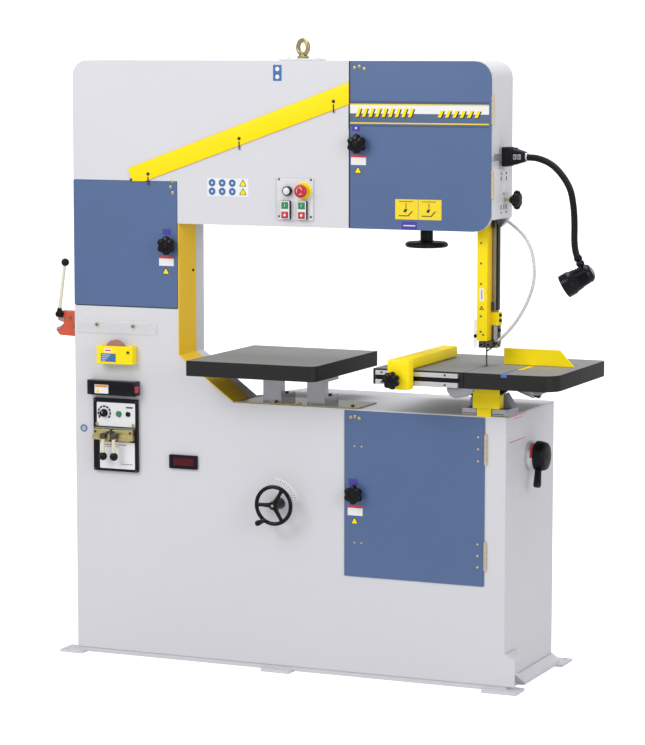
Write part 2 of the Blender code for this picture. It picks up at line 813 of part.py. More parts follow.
def left_table():
    left, right, front, back = LEFT_TABLE
    bottom = TABLE_TOP - TABLE_THICK
    corner = 0.030
    plan = (
        [(left, front)]
        + arc((right - corner, front + corner), corner, -90, 0, 4)
        + [(right, back), (left, back)]
    )
    table = profile("left_table", [plan], "XY", bottom, TABLE_TOP)
    return done(bevel(table, 0.0015), "dark")


def left_table_stand():
    """Two machined angle brackets on a plate that lies on the base."""
    low = BASE_TOP + GAP
    plate_plan = [(0.566, 0.001), (0.985, 0.001), (0.985, 0.150), (0.600, 0.172)]
    plate = profile("left_table_stand", [plate_plan], "XY", low, low + 0.004)
    table_under = TABLE_TOP - TABLE_THICK - GAP
    pieces = [plate]
    for i, (left, right) in enumerate(((0.650, 0.712), (0.800, 0.860))):
        web = block(f"stand_web_{i}", (left, 0.030, low + 0.001), (right, 0.060, table_under))
        foot = block(f"stand_foot_{i}", (left, 0.030, low + 0.001), (right, 0.140, low + 0.026))
        head = block(f"stand_head_{i}", (left, 0.030, table_under - 0.022), (right, 0.140, table_under))
        pieces += [web, foot, head]
    return done(join(*pieces), "steel")


def trunnion_base():
    """The cradle on the base that the right table tilts in, open behind its middle for the blade."""
    low = BASE_TOP + GAP
    left, right = CRADLE_SIDES
    front, back = CRADLE_DEPTH
    plate = profile("trunnion_base", [rectangle(left, right, front, back)], "XY", low, low + 0.020)
    cradle_low = low + 0.018
    seat = arc((BLADE_X, TABLE_TOP), TRUNNION_RADIUS + 0.004, -50, -114, 8)
    outline = [(left, cradle_low), (right, cradle_low), *seat]
    cradle = profile("cradle", [outline], "XZ", *TRUNNION_PLACE)
    blade_room = block("blade_room", (1.340, 0.062, low - 0.010), (1.405, back + 0.020, 0.930))
    return done(cut(join(plate, cradle), blade_room), "steel")


def right_table():
    """The tilting table: insert seat, blade slot, mitre groove and the half-round trunnion below."""
    left, right, front, back = RIGHT_TABLE
    bottom = TABLE_TOP - TABLE_THICK
    corner = 0.055
    plan = (
        [(left, front)]
        + arc((right - corner, front + corner), corner, -90, 0, 4)
        + arc((right - 0.015, back - 0.015), 0.015, 0, 90, 3)
        + [(left, back)]
    )
    table = bevel(profile("right_table", [plan], "XY", bottom, TABLE_TOP), 0.0015)
    root = bottom + 0.010
    half_round = arc((BLADE_X, TABLE_TOP), TRUNNION_RADIUS, -32, -148, 10)
    outline = [*half_round, (BLADE_X - 0.085, root), (BLADE_X + 0.085, root)]
    trunnion = profile("trunnion", [outline], "XZ", *TRUNNION_PLACE)
    seat_low, seat_high = (BLADE_X, BLADE_Y, 0.85), (BLADE_X, BLADE_Y, 1.0)
    insert_seat = rod("insert_seat", seat_low, seat_high, INSERT_RADIUS, sides=24)
    slot = block("blade_slot", (BLADE_X - 0.001, front - 0.02, 0.90), (BLADE_X + 0.001, BLADE_Y, 1.0))
    groove = block(
        "mitre_groove",
        (GROOVE_X - GROOVE_WIDTH / 2, front - 0.02, TABLE_TOP - GROOVE_DEPTH),
        (GROOVE_X + GROOVE_WIDTH / 2, back + 0.02, 1.0),
    )
    table = cut(join(table, trunnion), insert_seat, slot, groove)
    return done(table, "dark", (BLADE_X, BLADE_Y, TABLE_TOP))


def rip_fence():
    """The fence beam, with the block that clamps to the rail at the table's front."""
    front = RIGHT_TABLE[2]
    clamp = block("rip_fence", (1.145, front - 0.056, 0.930), (1.218, front - 0.0145, 1.021), 0.008, 2)
    low = TABLE_TOP + 0.0006
    beam = block("fence_beam", (1.150, front - 0.020, low), (1.206, 0.281, low + 0.0354), 0.008, 2)
    return done(join(clamp, beam), "yellow", (1.18, front, TABLE_TOP))


def rip_fence_knob():
    front = RIGHT_TABLE[2] - 0.056
    x, z = 1.166, 0.960
    lobes = []
    for i in range(42):
        angle = math.radians(360 / 42 * i)
        radius = 0.0255 + 0.0025 * math.cos(7 * angle)
        lobes.append((x + radius * math.cos(angle), z + radius * math.sin(angle)))
    head = profile("rip_fence_knob", [lobes], "XZ", front - 0.030, front - 0.010)
    stem = rod("fence_knob_stem", (x, front - 0.012, z), (x, front - GAP, z), 0.012, sides=16)
    return done(join(head, stem), "black", (x, front, z))


def mitre_bar():
    low = TABLE_TOP - GROOVE_DEPTH + 0.0005
    half = GROOVE_WIDTH / 2 - 0.0006
    front = RIGHT_TABLE[2]
    high = TABLE_TOP - 0.0006
    bar = block("mitre_bar", (GROOVE_X - half, front - 0.004, low), (GROOVE_X + half, 0.235, high))
    return done(bar, "steel", (GROOVE_X, 0.15, TABLE_TOP))


def mitre_fence():
    """The upright face plate with its slanted right end, and the foot that turns on the bar."""
    low = TABLE_TOP + 0.0006
    outline = [(1.405, low), (1.629, low), (1.584, TABLE_TOP + 0.050), (1.405, TABLE_TOP + 0.050)]
    plate = profile("mitre_fence", [outline], "XZ", 0.150, 0.158)
    foot = profile(
        "mitre_foot",
        [[(1.420, 0.154), (1.585, 0.154)] + arc((GROOVE_X, 0.172), 0.045, 0, 180, 8)],
        "XY",
        low,
        low + 0.012,
    )
    return done(join(plate, foot), "yellow", (GROOVE_X, 0.180, TABLE_TOP))


# Guide post


def guide_post():
    """The square post with the blade guard that hangs in front of it."""
    post = block("guide_post", (POST_X[0], POST_Y[0], POST_FOOT), (POST_X[1], POST_Y[1], POST_TOP), 0.0012)
    guard = profile(
        "post_guard",
        [thicken([(1.3500, 0.0612), (1.3832, 0.0612), (1.3832, 0.0950)], 0.0022)],
        "XY",
        1.0640,
        1.440,
    )
    ties = []
    for i, foot in enumerate((POST_FOOT + 0.004, 1.405)):
        ties.append(block(f"guard_tie_{i}", (1.3824, 0.088, foot), (POST_X[0] + 0.004, 0.108, foot + 0.028)))
    return done(join(post, guard, *ties), "steel", (POST_X[0], POST_Y[0], POST_FOOT))


def guide_head():
    """The bracket under the post, with a jaw on each side of the blade and a backing block behind it."""
    bracket = block("guide_head", (1.3790, 0.0965, 1.040), (1.4020, 0.128, POST_FOOT - GAP), 0.0015)
    bridge = block("guide_bridge", (1.3500, 0.1060, 1.042), (1.3900, 0.124, 1.075))
    left_jaw = block("guide_jaw_left", (1.3520, 0.0690, 1.042), (1.3693, 0.1100, 1.062))
    right_jaw = block("guide_jaw_right", (1.3717, 0.0690, 1.042), (1.3950, 0.1100, 1.062))
    hose_end, before = Vector(HOSE[-1]), Vector(HOSE[-2])
    along = (hose_end - before).normalized()
    nozzle = rod("air_nozzle", hose_end + 0.0005 * along, hose_end + 0.0165 * along, 0.0062, sides=12)
    return done(join(bracket, bridge, left_jaw, right_jaw, nozzle), "steel", (BLADE_X, BLADE_Y, 1.04))


def post_lock_knob():
    """The knob on the arm's end that clamps the post."""
    y = (POST_Y[0] + POST_Y[1]) / 2
    start = POST_X[1] + 0.003
    lobes = []
    for i in range(36):
        angle = math.radians(10 * i)
        radius = 0.0250 + 0.0035 * math.cos(6 * angle)
        lobes.append((y + radius * math.cos(angle), LOCK_Z + radius * math.sin(angle)))
    head = profile("post_lock_knob", [lobes], "YZ", 1.448, 1.468)
    neck = rod("lock_neck", (1.435, y, LOCK_Z), (1.450, y, LOCK_Z), 0.009, 0.014, sides=16)
    stem = rod("lock_stem", (start, y, LOCK_Z), (1.440, y, LOCK_Z), 0.005, sides=16)
    return done(join(head, neck, stem), "black", (1.435, y, LOCK_Z))


def smooth_route(points, spacing):
    """Points at even spacing along a smooth curve through the given ones."""
    places = [Vector(point) for point in points]
    ends = [2 * places[0] - places[1], *places, 2 * places[-1] - places[-2]]
    fine = []
    for i in range(1, len(ends) - 2):
        a, b, c, d = ends[i - 1 : i + 3]
        for step in range(20):
            t = step / 20
            fine.append(
                0.5
                * (2 * b + (c - a) * t + (2 * a - 5 * b + 4 * c - d) * t**2 + (3 * b - a - 3 * c + d) * t**3)
            )
    fine.append(places[-1])
    length = sum((b - a).length for a, b in zip(fine, fine[1:]))
    count = max(2, round(length / spacing))
    route, walked, target = [fine[0]], 0.0, length / count
    for a, b in zip(fine, fine[1:]):
        step = (b - a).length
        while walked + step >= target - 1e-9 and len(route) < count:
            route.append(a.lerp(b, (target - walked) / step))
            target += length / count
        walked += step
    return [*route, fine[-1]]


def air_hose():
    return done(tube("air_hose", smooth_route(HOSE, 0.022), HOSE_RADIUS, 2), "clear")


# Work lamp


def lamp_arm():
    """The switch box on its bracket, and the bent gooseneck."""
    x, y, z = LAMP_BASE
    box = block("lamp_arm", (x + 0.010, y - 0.028, z - 0.029), (x + 0.045, y + 0.028, z + 0.029), 0.003)
    nose = rod("lamp_nose", (x + 0.040, y, z), (x + 0.076, y, z), 0.028, 0.014, sides=16)
    bracket = block("lamp_bracket", (x - 0.0028, y - 0.040, z - 0.016), (x + 0.012, y + 0.030, z + 0.016))
    neck = tube("gooseneck", smooth_route(LAMP_NECK, 0.022), NECK_RADIUS, 2)
    return done(join(box, nose, bracket, neck), "black", LAMP_BASE)


def lamp_head():
    """The lamp's round body, which tilts on the gooseneck's end."""
    along = (Vector(LAMP_FRONT) - Vector(LAMP_REAR)).normalized()
    outline = [
        (0, 0.094),
        (0.036, 0.094),
        (0.036, 0.066),
        (0.033, 0.062),
        (0.029, 0.010),
        (0.020, -0.002),
        (0, -0.004),
    ]
    head = turned("lamp_head", outline, LAMP_REAR, tuple(along), 24)
    knuckle = rod("lamp_knuckle", LAMP_PIVOT, (1.684, 0.063, 1.281), 0.011, 0.017, sides=16)
    return done(join(head, knuckle), "black", LAMP_PIVOT)


# Controls


def switch_plate():
    """The plate of the main controls, with a twin housing in which each pair of buttons travels."""
    outline = rounded_box(0.7125, 0.8370, 1.4179, 1.5493, 0.004, 2)
    stem_hole = circle(STOP_PLACE, STOP_STEM_RADIUS + 0.0005, 16)
    plate = profile("switch_plate", [outline, stem_hole], "XZ", PLATE_FACE, -GAP)
    half_width, half_height = HOUSING_SIZE[0] / 2, HOUSING_SIZE[1] / 2
    housings, wells = [], []
    for x in sorted({x for x, _, _ in BUTTONS.values()}):
        low = (x - half_width, HOUSING_FACE, HOUSING_MIDDLE - half_height)
        high = (x + half_width, PLATE_FACE + 0.001, HOUSING_MIDDLE + half_height)
        housings.append(block("housing", low, high, 0.0015))
    for x, z, _ in BUTTONS.values():
        wells.append(square_button("well", x, z, 0.0005, HOUSING_FACE - 0.002, WELL_FLOOR))
    return done(cut(join(plate, *housings), *wells), "white")


def square_button(name, x, z, grow_by, front, back):
    half_width, half_height = BUTTON_SIZE[0] / 2 + grow_by, BUTTON_SIZE[1] / 2 + grow_by
    return block(name, (x - half_width, front, z - half_height), (x + half_width, back, z + half_height))


def plate_button(name, x, z, colour_name):
    """A square button, which stands 2 mm out of its housing and goes 3 mm in."""
    front, back = HOUSING_FACE - 0.002, WELL_FLOOR - 0.0035
    cap = square_button(name, x, z, 0, front, back)
    return done(bevel(cap, 0.0012), colour_name, (x, back, z))


def weld_push_button():
    x, z = WELD_BUTTON_PLACE
    face = WELDER_FACE - GAP
    cap = rod("weld_button", (x, face, z), (x, face - 0.008, z), WELD_BUTTON_RADIUS, sides=20)
    return done(bevel(cap, 0.001), "green", (x, face, z))


def stop_mushroom():
    x, z = STOP_PLACE
    face = PLATE_FACE - GAP
    outline = [
        (0, 0.030),
        (0.012, 0.0295),
        (0.0180, 0.0275),
        (0.0205, 0.0230),
        (0.0200, 0.0180),
        (STOP_STEM_RADIUS, 0.0150),
        (STOP_STEM_RADIUS, 0),
        (0, 0),
    ]
    return done(turned("emergency_stop", outline, (x, face, z), (0, -1, 0), 24), "red", (x, face, z))


def welder_panel():
    """The blade welder's housing, with its brass jaws across the middle."""
    panel = block("welder_panel", (0.0711, WELDER_FACE, 0.6010), (0.2289, -GAP, 0.8345), 0.003)
    jaws = block("welder_jaws", (0.0760, -0.034, 0.7030), (0.2200, -0.010, 0.7380), 0.002)
    x, z = WELD_BUTTON_PLACE
    recess = rod("button_recess", (x, -0.020, z), (x, -0.0095, z), WELD_BUTTON_RADIUS + 0.0005, sides=20)
    return done(cut(join(panel, jaws), recess), "black")


def clamp_lever(name, x):
    """A welder clamp's lever, hanging from its eccentric in front of the jaws."""
    top, bottom = 0.7180, 0.6530
    y = -0.046
    hub = rod(name, (x, -0.0345, top), (x, -0.054, top), 0.010, sides=16)
    arm = rod(f"{name}_arm", (x, y, top), (x, y, bottom + 0.006), 0.0042, sides=12)
    knob = ball(f"{name}_ball", (x, y, bottom), 0.0120)
    return done(join(hub, arm, knob), "black", (x, y, top))


def weld_knob():
    x, z = 0.1117, 0.7878
    face = WELDER_FACE - 0.0005
    knob = rod("weld_current_knob", (x, face, z), (x, face - 0.0155, z), 0.012, 0.010, sides=20)
    return done(bevel(knob, 0.001), "black", (x, face, z))


def grinder_guard():
    """The yellow hood round the weld grinder, open at the top where its wheel stands out."""
    hood = block("grinder_guard", (0.0975, -0.037, 0.9482), (0.2225, -GAP, 1.0059), 0.006, 2)
    room = block("grinder_room", (0.1120, -0.031, 0.9580), (0.2010, -0.008, 1.0300))
    return done(cut(hood, room), "yellow")


def grinding_wheel():
    x, z = 0.1568, 0.9920
    wheel = rod("grinding_wheel", (x, -0.028, z), (x, -0.012, z), 0.0325, sides=28)
    return done(bevel(wheel, 0.001), "stone", (x, -0.020, z))


def welder_light():
    """The lamp box above the welder."""
    return done(block("welder_light", (0.0566, -0.037, 0.8470), (0.2330, -GAP, 0.8940), 0.004, 2), "black")


def shear_body():
    """The blade shear on the column's left side, with its jaw open to the left."""
    outline = [
        (-0.0010, 1.0260),
        (-0.0010, 1.1060),
        (-0.0660, 1.1060),
        (-0.0690, 1.0760),
        (-0.0470, 1.0690),
        (-0.0560, 1.0590),
        (-0.0740, 1.0520),
        (-0.0760, 1.0440),
        (-0.0620, 1.0280),
    ]
    body = profile("shear_body", [outline], "XZ", 0.012, 0.046)
    return done(body, "red")


def shear_lever():
    """The lever that closes the shear, with its ball."""
    x, y, z = -0.0580, 0.0020, 1.0970
    hub = rod("shear_lever", (x, y + 0.0095, z), (x, y - 0.008, z), 0.0165, sides=20)
    arm = rod("shear_arm", (x, y, z), (-0.0350, y, 1.2560), 0.0052, sides=12)
    knob = ball("shear_ball", (-0.0335, y, 1.2640), 0.0130)
    return done(join(hub, arm, knob), "black", (x, y, z))


def speed_handwheel():
    """The three-spoke handwheel that sets the blade speed, with its crank grip."""
    x, z = 0.7226, 0.5340
    y = -0.052
    rim_radius = 0.058
    outline = []
    for i in range(8):
        angle = math.radians(-45 * i)
        outline.append((rim_radius + 0.0062 * math.cos(angle), 0.0062 * math.sin(angle)))
    rim = turned("speed_handwheel", outline, (x, y, z), (0, 1, 0), 30)
    hub = rod("speed_hub", (x, y - 0.010, z), (x, -0.006, z), 0.014, 0.018, sides=20)
    shaft = rod("speed_shaft", (x, -0.010, z), (x, 0.020, z), 0.008, sides=16)
    spokes = []
    for i, degrees in enumerate((60, 180, 300)):
        angle = math.radians(degrees)
        end = (x + rim_radius * math.cos(angle), y, z + rim_radius * math.sin(angle))
        spokes.append(rod(f"speed_spoke_{i}", (x, y + 0.004, z), end, 0.0075, 0.0055, sides=12))
    angle = math.radians(240)
    at_x, at_z = x + 0.056 * math.cos(angle), z + 0.056 * math.sin(angle)
    grip = rod("speed_grip", (at_x, y + 0.002, at_z), (at_x, y - 0.062, at_z), 0.0065, 0.0095, sides=16)
    return done(join(rim, hub, shaft, *spokes, grip), "black", (x, y, z))


def side_dial():
    """The scale drum on the base's right side, with its crank lever."""
    y, z = 0.2150, 0.6990
    outline = [
        (0, 0.0620),
        (0.034, 0.0600),
        (0.043, 0.0540),
        (0.047, 0.0260),
        (0.045, 0.0240),
        (0.045, 0.0010),
        (0, 0.0010),
    ]
    drum = turned("side_dial", outline, (BASE_LENGTH, y, z), (1, 0, 0), 30)
    shaft = rod("dial_shaft", (1.450, y, z), (1.474, y, z), 0.008, sides=16)
    lever_root, lever_end = (1.503, y - 0.018, z - 0.031), (1.511, y - 0.052, z - 0.088)
    lever = rod("dial_lever", lever_root, lever_end, 0.0065, 0.0085, sides=14)
    return done(join(drum, shaft, lever), "black", (BASE_LENGTH, y, z))


def lifting_eye():
    """The eye bolt on its plate on top of the arm."""
    x, y = 0.7610, 0.090
    top = FRAME_HEIGHT + GAP
    plate = block("lifting_eye", (0.690, 0.060, top), (0.826, 0.120, top + 0.006))
    collar = rod("eye_collar", (x, y, top + 0.004), (x, y, top + 0.018), 0.017, 0.013, sides=20)
    outline = []
    for i in range(8):
        angle = math.radians(-45 * i)
        outline.append((0.0220 + 0.0070 * math.cos(angle), 0.0070 * math.sin(angle)))
    lean = math.radians(23)
    ring = turned("eye_ring", outline, (x, y, top + 0.040), (math.sin(lean), math.cos(lean), 0), 24)
    return done(join(plate, collar, ring), "steel")


def build():
    clear_scene()
    base_frame()
    base_front_panel()
    base_shell()
    base_top_panel()
    throat_panel()
    left_side_panel()
    rear_panel()
    arm_front_panel()
    arm_shell()
    throat_blade_cover()
    door("left_door", LEFT_DOOR, 0, 0, 0.014, (-0.0035, 0.0015, LEFT_DOOR[2]))
    door("upper_door", UPPER_DOOR, 0, ARM_CORNER, 0.014, (ARM_LENGTH + 0.0035, 0.0015, ARM_BOTTOM))
    door("lower_door", LOWER_DOOR, -SHEET, 0, 0.017, (LOWER_DOOR[1] + 0.0030, -0.0035, LOWER_DOOR[2]))
    latch_knob("left_door_knob", 0.3400, 1.3290)
    latch_knob("upper_door_knob", 0.9872, 1.6560)
    latch_knob("lower_door_knob", 0.9791, 0.5800, -SHEET - GAP)
    band_wheel("upper_wheel", UPPER_WHEEL, SHAFT_RADIUS + 0.0005)
    band_wheel("lower_wheel", LOWER_WHEEL, SHAFT_RADIUS + 0.0005)
    band_wheel("left_wheel", LEFT_WHEEL, SHAFT_RADIUS + 0.0005)
    wheel_carriage()
    tension_handwheel()
    left_wheel_shaft()
    drive_shaft()
    drive_motor()
    motor_pulley()
    drive_belt()
    saw_blade()
    left_table()
    left_table_stand()
    trunnion_base()
    right_table()
    rip_fence()
    rip_fence_knob()
    mitre_bar()
    mitre_fence()
    guide_post()
    guide_head()
    post_lock_knob()
    air_hose()
    lamp_arm()
    lamp_head()
    switch_plate()
    for name, (x, z, colour_name) in BUTTONS.items():
        plate_button(name, x, z, colour_name)
    stop_mushroom()
    welder_panel()
    clamp_lever("clamp_lever_left", 0.1225)
    clamp_lever("clamp_lever_right", 0.1610)
    weld_knob()
    weld_push_button()
    grinder_guard()
    grinding_wheel()
    welder_light()
    shear_body()
    shear_lever()
    speed_handwheel()
    side_dial()
    lifting_eye()


build()
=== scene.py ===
"""A three-wheel vertical band saw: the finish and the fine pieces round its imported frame.

Run inside Blender 4.5. Lengths are in metres and places are in the machine's own frame: X along the
front from the column's left side, Y from the front panel to the back, Z up from the floor.
"""

import math

import bmesh
import bpy
from mathutils import Matrix, Vector
from mathutils.geometry import tessellate_polygon


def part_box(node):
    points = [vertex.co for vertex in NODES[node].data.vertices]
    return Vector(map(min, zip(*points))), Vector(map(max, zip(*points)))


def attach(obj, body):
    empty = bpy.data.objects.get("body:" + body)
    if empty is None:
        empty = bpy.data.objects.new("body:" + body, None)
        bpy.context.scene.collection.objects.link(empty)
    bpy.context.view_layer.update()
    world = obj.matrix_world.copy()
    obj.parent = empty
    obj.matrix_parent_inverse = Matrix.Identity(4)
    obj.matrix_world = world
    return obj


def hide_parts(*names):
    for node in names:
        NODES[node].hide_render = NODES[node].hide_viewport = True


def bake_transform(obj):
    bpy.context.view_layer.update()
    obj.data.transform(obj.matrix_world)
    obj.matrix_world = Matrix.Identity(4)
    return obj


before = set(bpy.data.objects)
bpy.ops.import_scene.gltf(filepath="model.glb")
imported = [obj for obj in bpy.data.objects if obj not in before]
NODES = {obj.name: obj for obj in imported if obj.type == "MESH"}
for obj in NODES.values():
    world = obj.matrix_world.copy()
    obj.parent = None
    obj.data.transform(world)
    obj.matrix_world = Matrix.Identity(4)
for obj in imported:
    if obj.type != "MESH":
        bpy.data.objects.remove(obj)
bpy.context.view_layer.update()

# The machine's own frame starts at the front panel's lower left corner
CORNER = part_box("base_front_panel")[0]
OFFSET = Vector((CORNER.x, CORNER.y, 0.0))


def span(node):
    """A CAD node's lowest and highest corners, in the machine's own frame."""
    low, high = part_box(node)
    return low - OFFSET, high - OFFSET


FRAME_TOP = span("arm_front_panel")[1].z
DOOR_LEFT_LOW, DOOR_LEFT_HIGH = span("left_door")
DOOR_UP_LOW, DOOR_UP_HIGH = span("upper_door")
DOOR_DOWN_LOW, DOOR_DOWN_HIGH = span("lower_door")
ARM_BOTTOM = span("arm_front_panel")[0].z
ARM_END = span("arm_shell")[1].x
BASE_END = span("base_shell")[1].x
BASE_TOP = span("base_top_panel")[1].z
BASE_BACK = span("base_shell")[1].y
HEAD_BACK = span("rear_panel")[1].y
TABLE_LOW, TABLE_HIGH = span("right_table")
TABLE_TOP = TABLE_HIGH.z
TABLE_UNDER = span("left_table")[0].z
TABLE_FRONT = TABLE_LOW.y
BLADE_LOW, BLADE_HIGH = span("saw_blade")
BLADE_Y = (BLADE_LOW.y + BLADE_HIGH.y) / 2
BLADE_X = 1.3705
BLADE_WHEEL = 0.2146


# Camera


def camera():
    """A long lens from the front right, a little above the table."""
    data = bpy.data.cameras.new("camera")
    data.lens = 136.01
    data.sensor_width = 36
    data.sensor_fit = "AUTO"
    data.clip_end = 200
    made = bpy.data.objects.new("camera", data)
    made.location = Vector((4.3175, -7.9041, 1.9554)) + OFFSET
    made.rotation_euler = (math.radians(83.3574), 0, math.radians(23.5914))
    bpy.context.scene.collection.objects.link(made)
    bpy.context.scene.camera = made


# Materials


def node(tree, kind, **values):
    """A shader node with its inputs set."""
    made = tree.nodes.new(kind)
    for name, value in values.items():
        made.inputs[name].default_value = value
    return made


def tint(colour, by):
    """A colour made lighter or darker, with full opacity."""
    return tuple(min(1.0, c * by) for c in colour) + (1.0,)


def finish(
    name,
    colour,
    roughness=0.5,
    metallic=0.0,
    drift=0.05,
    drift_scale=5.0,
    grain=0.15,
    grain_scale=600.0,
    grain_depth=0.0002,
    gloss_spread=0.08,
    stretch=(1, 1, 1),
    other=None,
    coat=0.0,
    **sockets,
):
    """A surface whose colour drifts slowly, with a fine grain in its relief and its gloss.

    other is a second colour, and what says where it shows: a function of the tree that returns a
    socket from 0 to 1.
    """
    made = bpy.data.materials.new(name)
    made.use_nodes = True
    tree = made.node_tree
    shader = tree.nodes["Principled BSDF"]
    place = tree.nodes.new("ShaderNodeTexCoord")
    scaled = node(tree, "ShaderNodeMapping", Scale=stretch)
    tree.links.new(place.outputs["Object"], scaled.inputs["Vector"])
    slow = node(tree, "ShaderNodeTexNoise", Scale=drift_scale, Detail=4.0, Roughness=0.55)
    fine = node(tree, "ShaderNodeTexNoise", Scale=grain_scale, Detail=2.0, Roughness=0.6)
    tree.links.new(place.outputs["Object"], slow.inputs["Vector"])
    tree.links.new(scaled.outputs["Vector"], fine.inputs["Vector"])

    def drifting(base):
        """The base colour, a little lighter in some places and darker in others."""
        mix = tree.nodes.new("ShaderNodeMix")
        mix.data_type = "RGBA"
        mix.inputs[6].default_value = tint(base, 1 - drift)
        mix.inputs[7].default_value = tint(base, 1 + drift)
        tree.links.new(slow.outputs["Fac"], mix.inputs[0])
        return mix.outputs[2]

    shown = drifting(colour)
    if other:
        second, where = other
        mix = tree.nodes.new("ShaderNodeMix")
        mix.data_type = "RGBA"
        tree.links.new(where(tree), mix.inputs[0])
        tree.links.new(shown, mix.inputs[6])
        tree.links.new(drifting(second), mix.inputs[7])
        shown = mix.outputs[2]
    tree.links.new(shown, shader.inputs["Base Color"])
    gloss = node(tree, "ShaderNodeMapRange")
    gloss.inputs["To Min"].default_value = max(0.02, roughness - gloss_spread)
    gloss.inputs["To Max"].default_value = min(1.0, roughness + gloss_spread)
    tree.links.new(fine.outputs["Fac"], gloss.inputs["Value"])
    tree.links.new(gloss.outputs["Result"], shader.inputs["Roughness"])
    relief = node(tree, "ShaderNodeBump", Strength=grain, Distance=grain_depth)
    tree.links.new(fine.outputs["Fac"], relief.inputs["Height"])
    tree.links.new(relief.outputs["Normal"], shader.inputs["Normal"])
    shader.inputs["Metallic"].default_value = metallic
    shader.inputs["Coat Weight"].default_value = coat
    shader.inputs["Coat Roughness"].default_value = 0.12
    for socket, value in sockets.items():
        shader.inputs[socket.replace("_", " ")].default_value = value
    return made


def above(coordinate, axis, threshold, softness=0.0005):
    """Where a coordinate (Object or Normal, in the piece's own axes) lies above a threshold."""

    def where(tree):
        place = tree.nodes.new("ShaderNodeTexCoord")
        split = tree.nodes.new("ShaderNodeSeparateXYZ")
        step = node(tree, "ShaderNodeMapRange")
        step.inputs["From Min"].default_value = threshold - softness
        step.inputs["From Max"].default_value = threshold + softness
        tree.links.new(place.outputs[coordinate], split.inputs[0])
        tree.links.new(split.outputs[axis], step.inputs["Value"])
        return step.outputs["Result"]

    return where


LABELS = {
    "label_white": ((0.82, 0.82, 0.82), 0.02),
    "label_yellow": ((0.9, 0.68, 0.015), 0.03),
    "label_red": ((0.62, 0.05, 0.05), 0.04),
    "label_blue": ((0.045, 0.15, 0.4), 0.05),
    "label_violet": ((0.055, 0.045, 0.34), 0.05),
    "label_navy": ((0.055, 0.085, 0.17), 0.05),
    "label_band": ((0.085, 0.13, 0.25), 0.05),
    "label_dark": ((0.02, 0.02, 0.025), 0.1),
    "label_orange": ((0.72, 0.28, 0.05), 0.05),
}


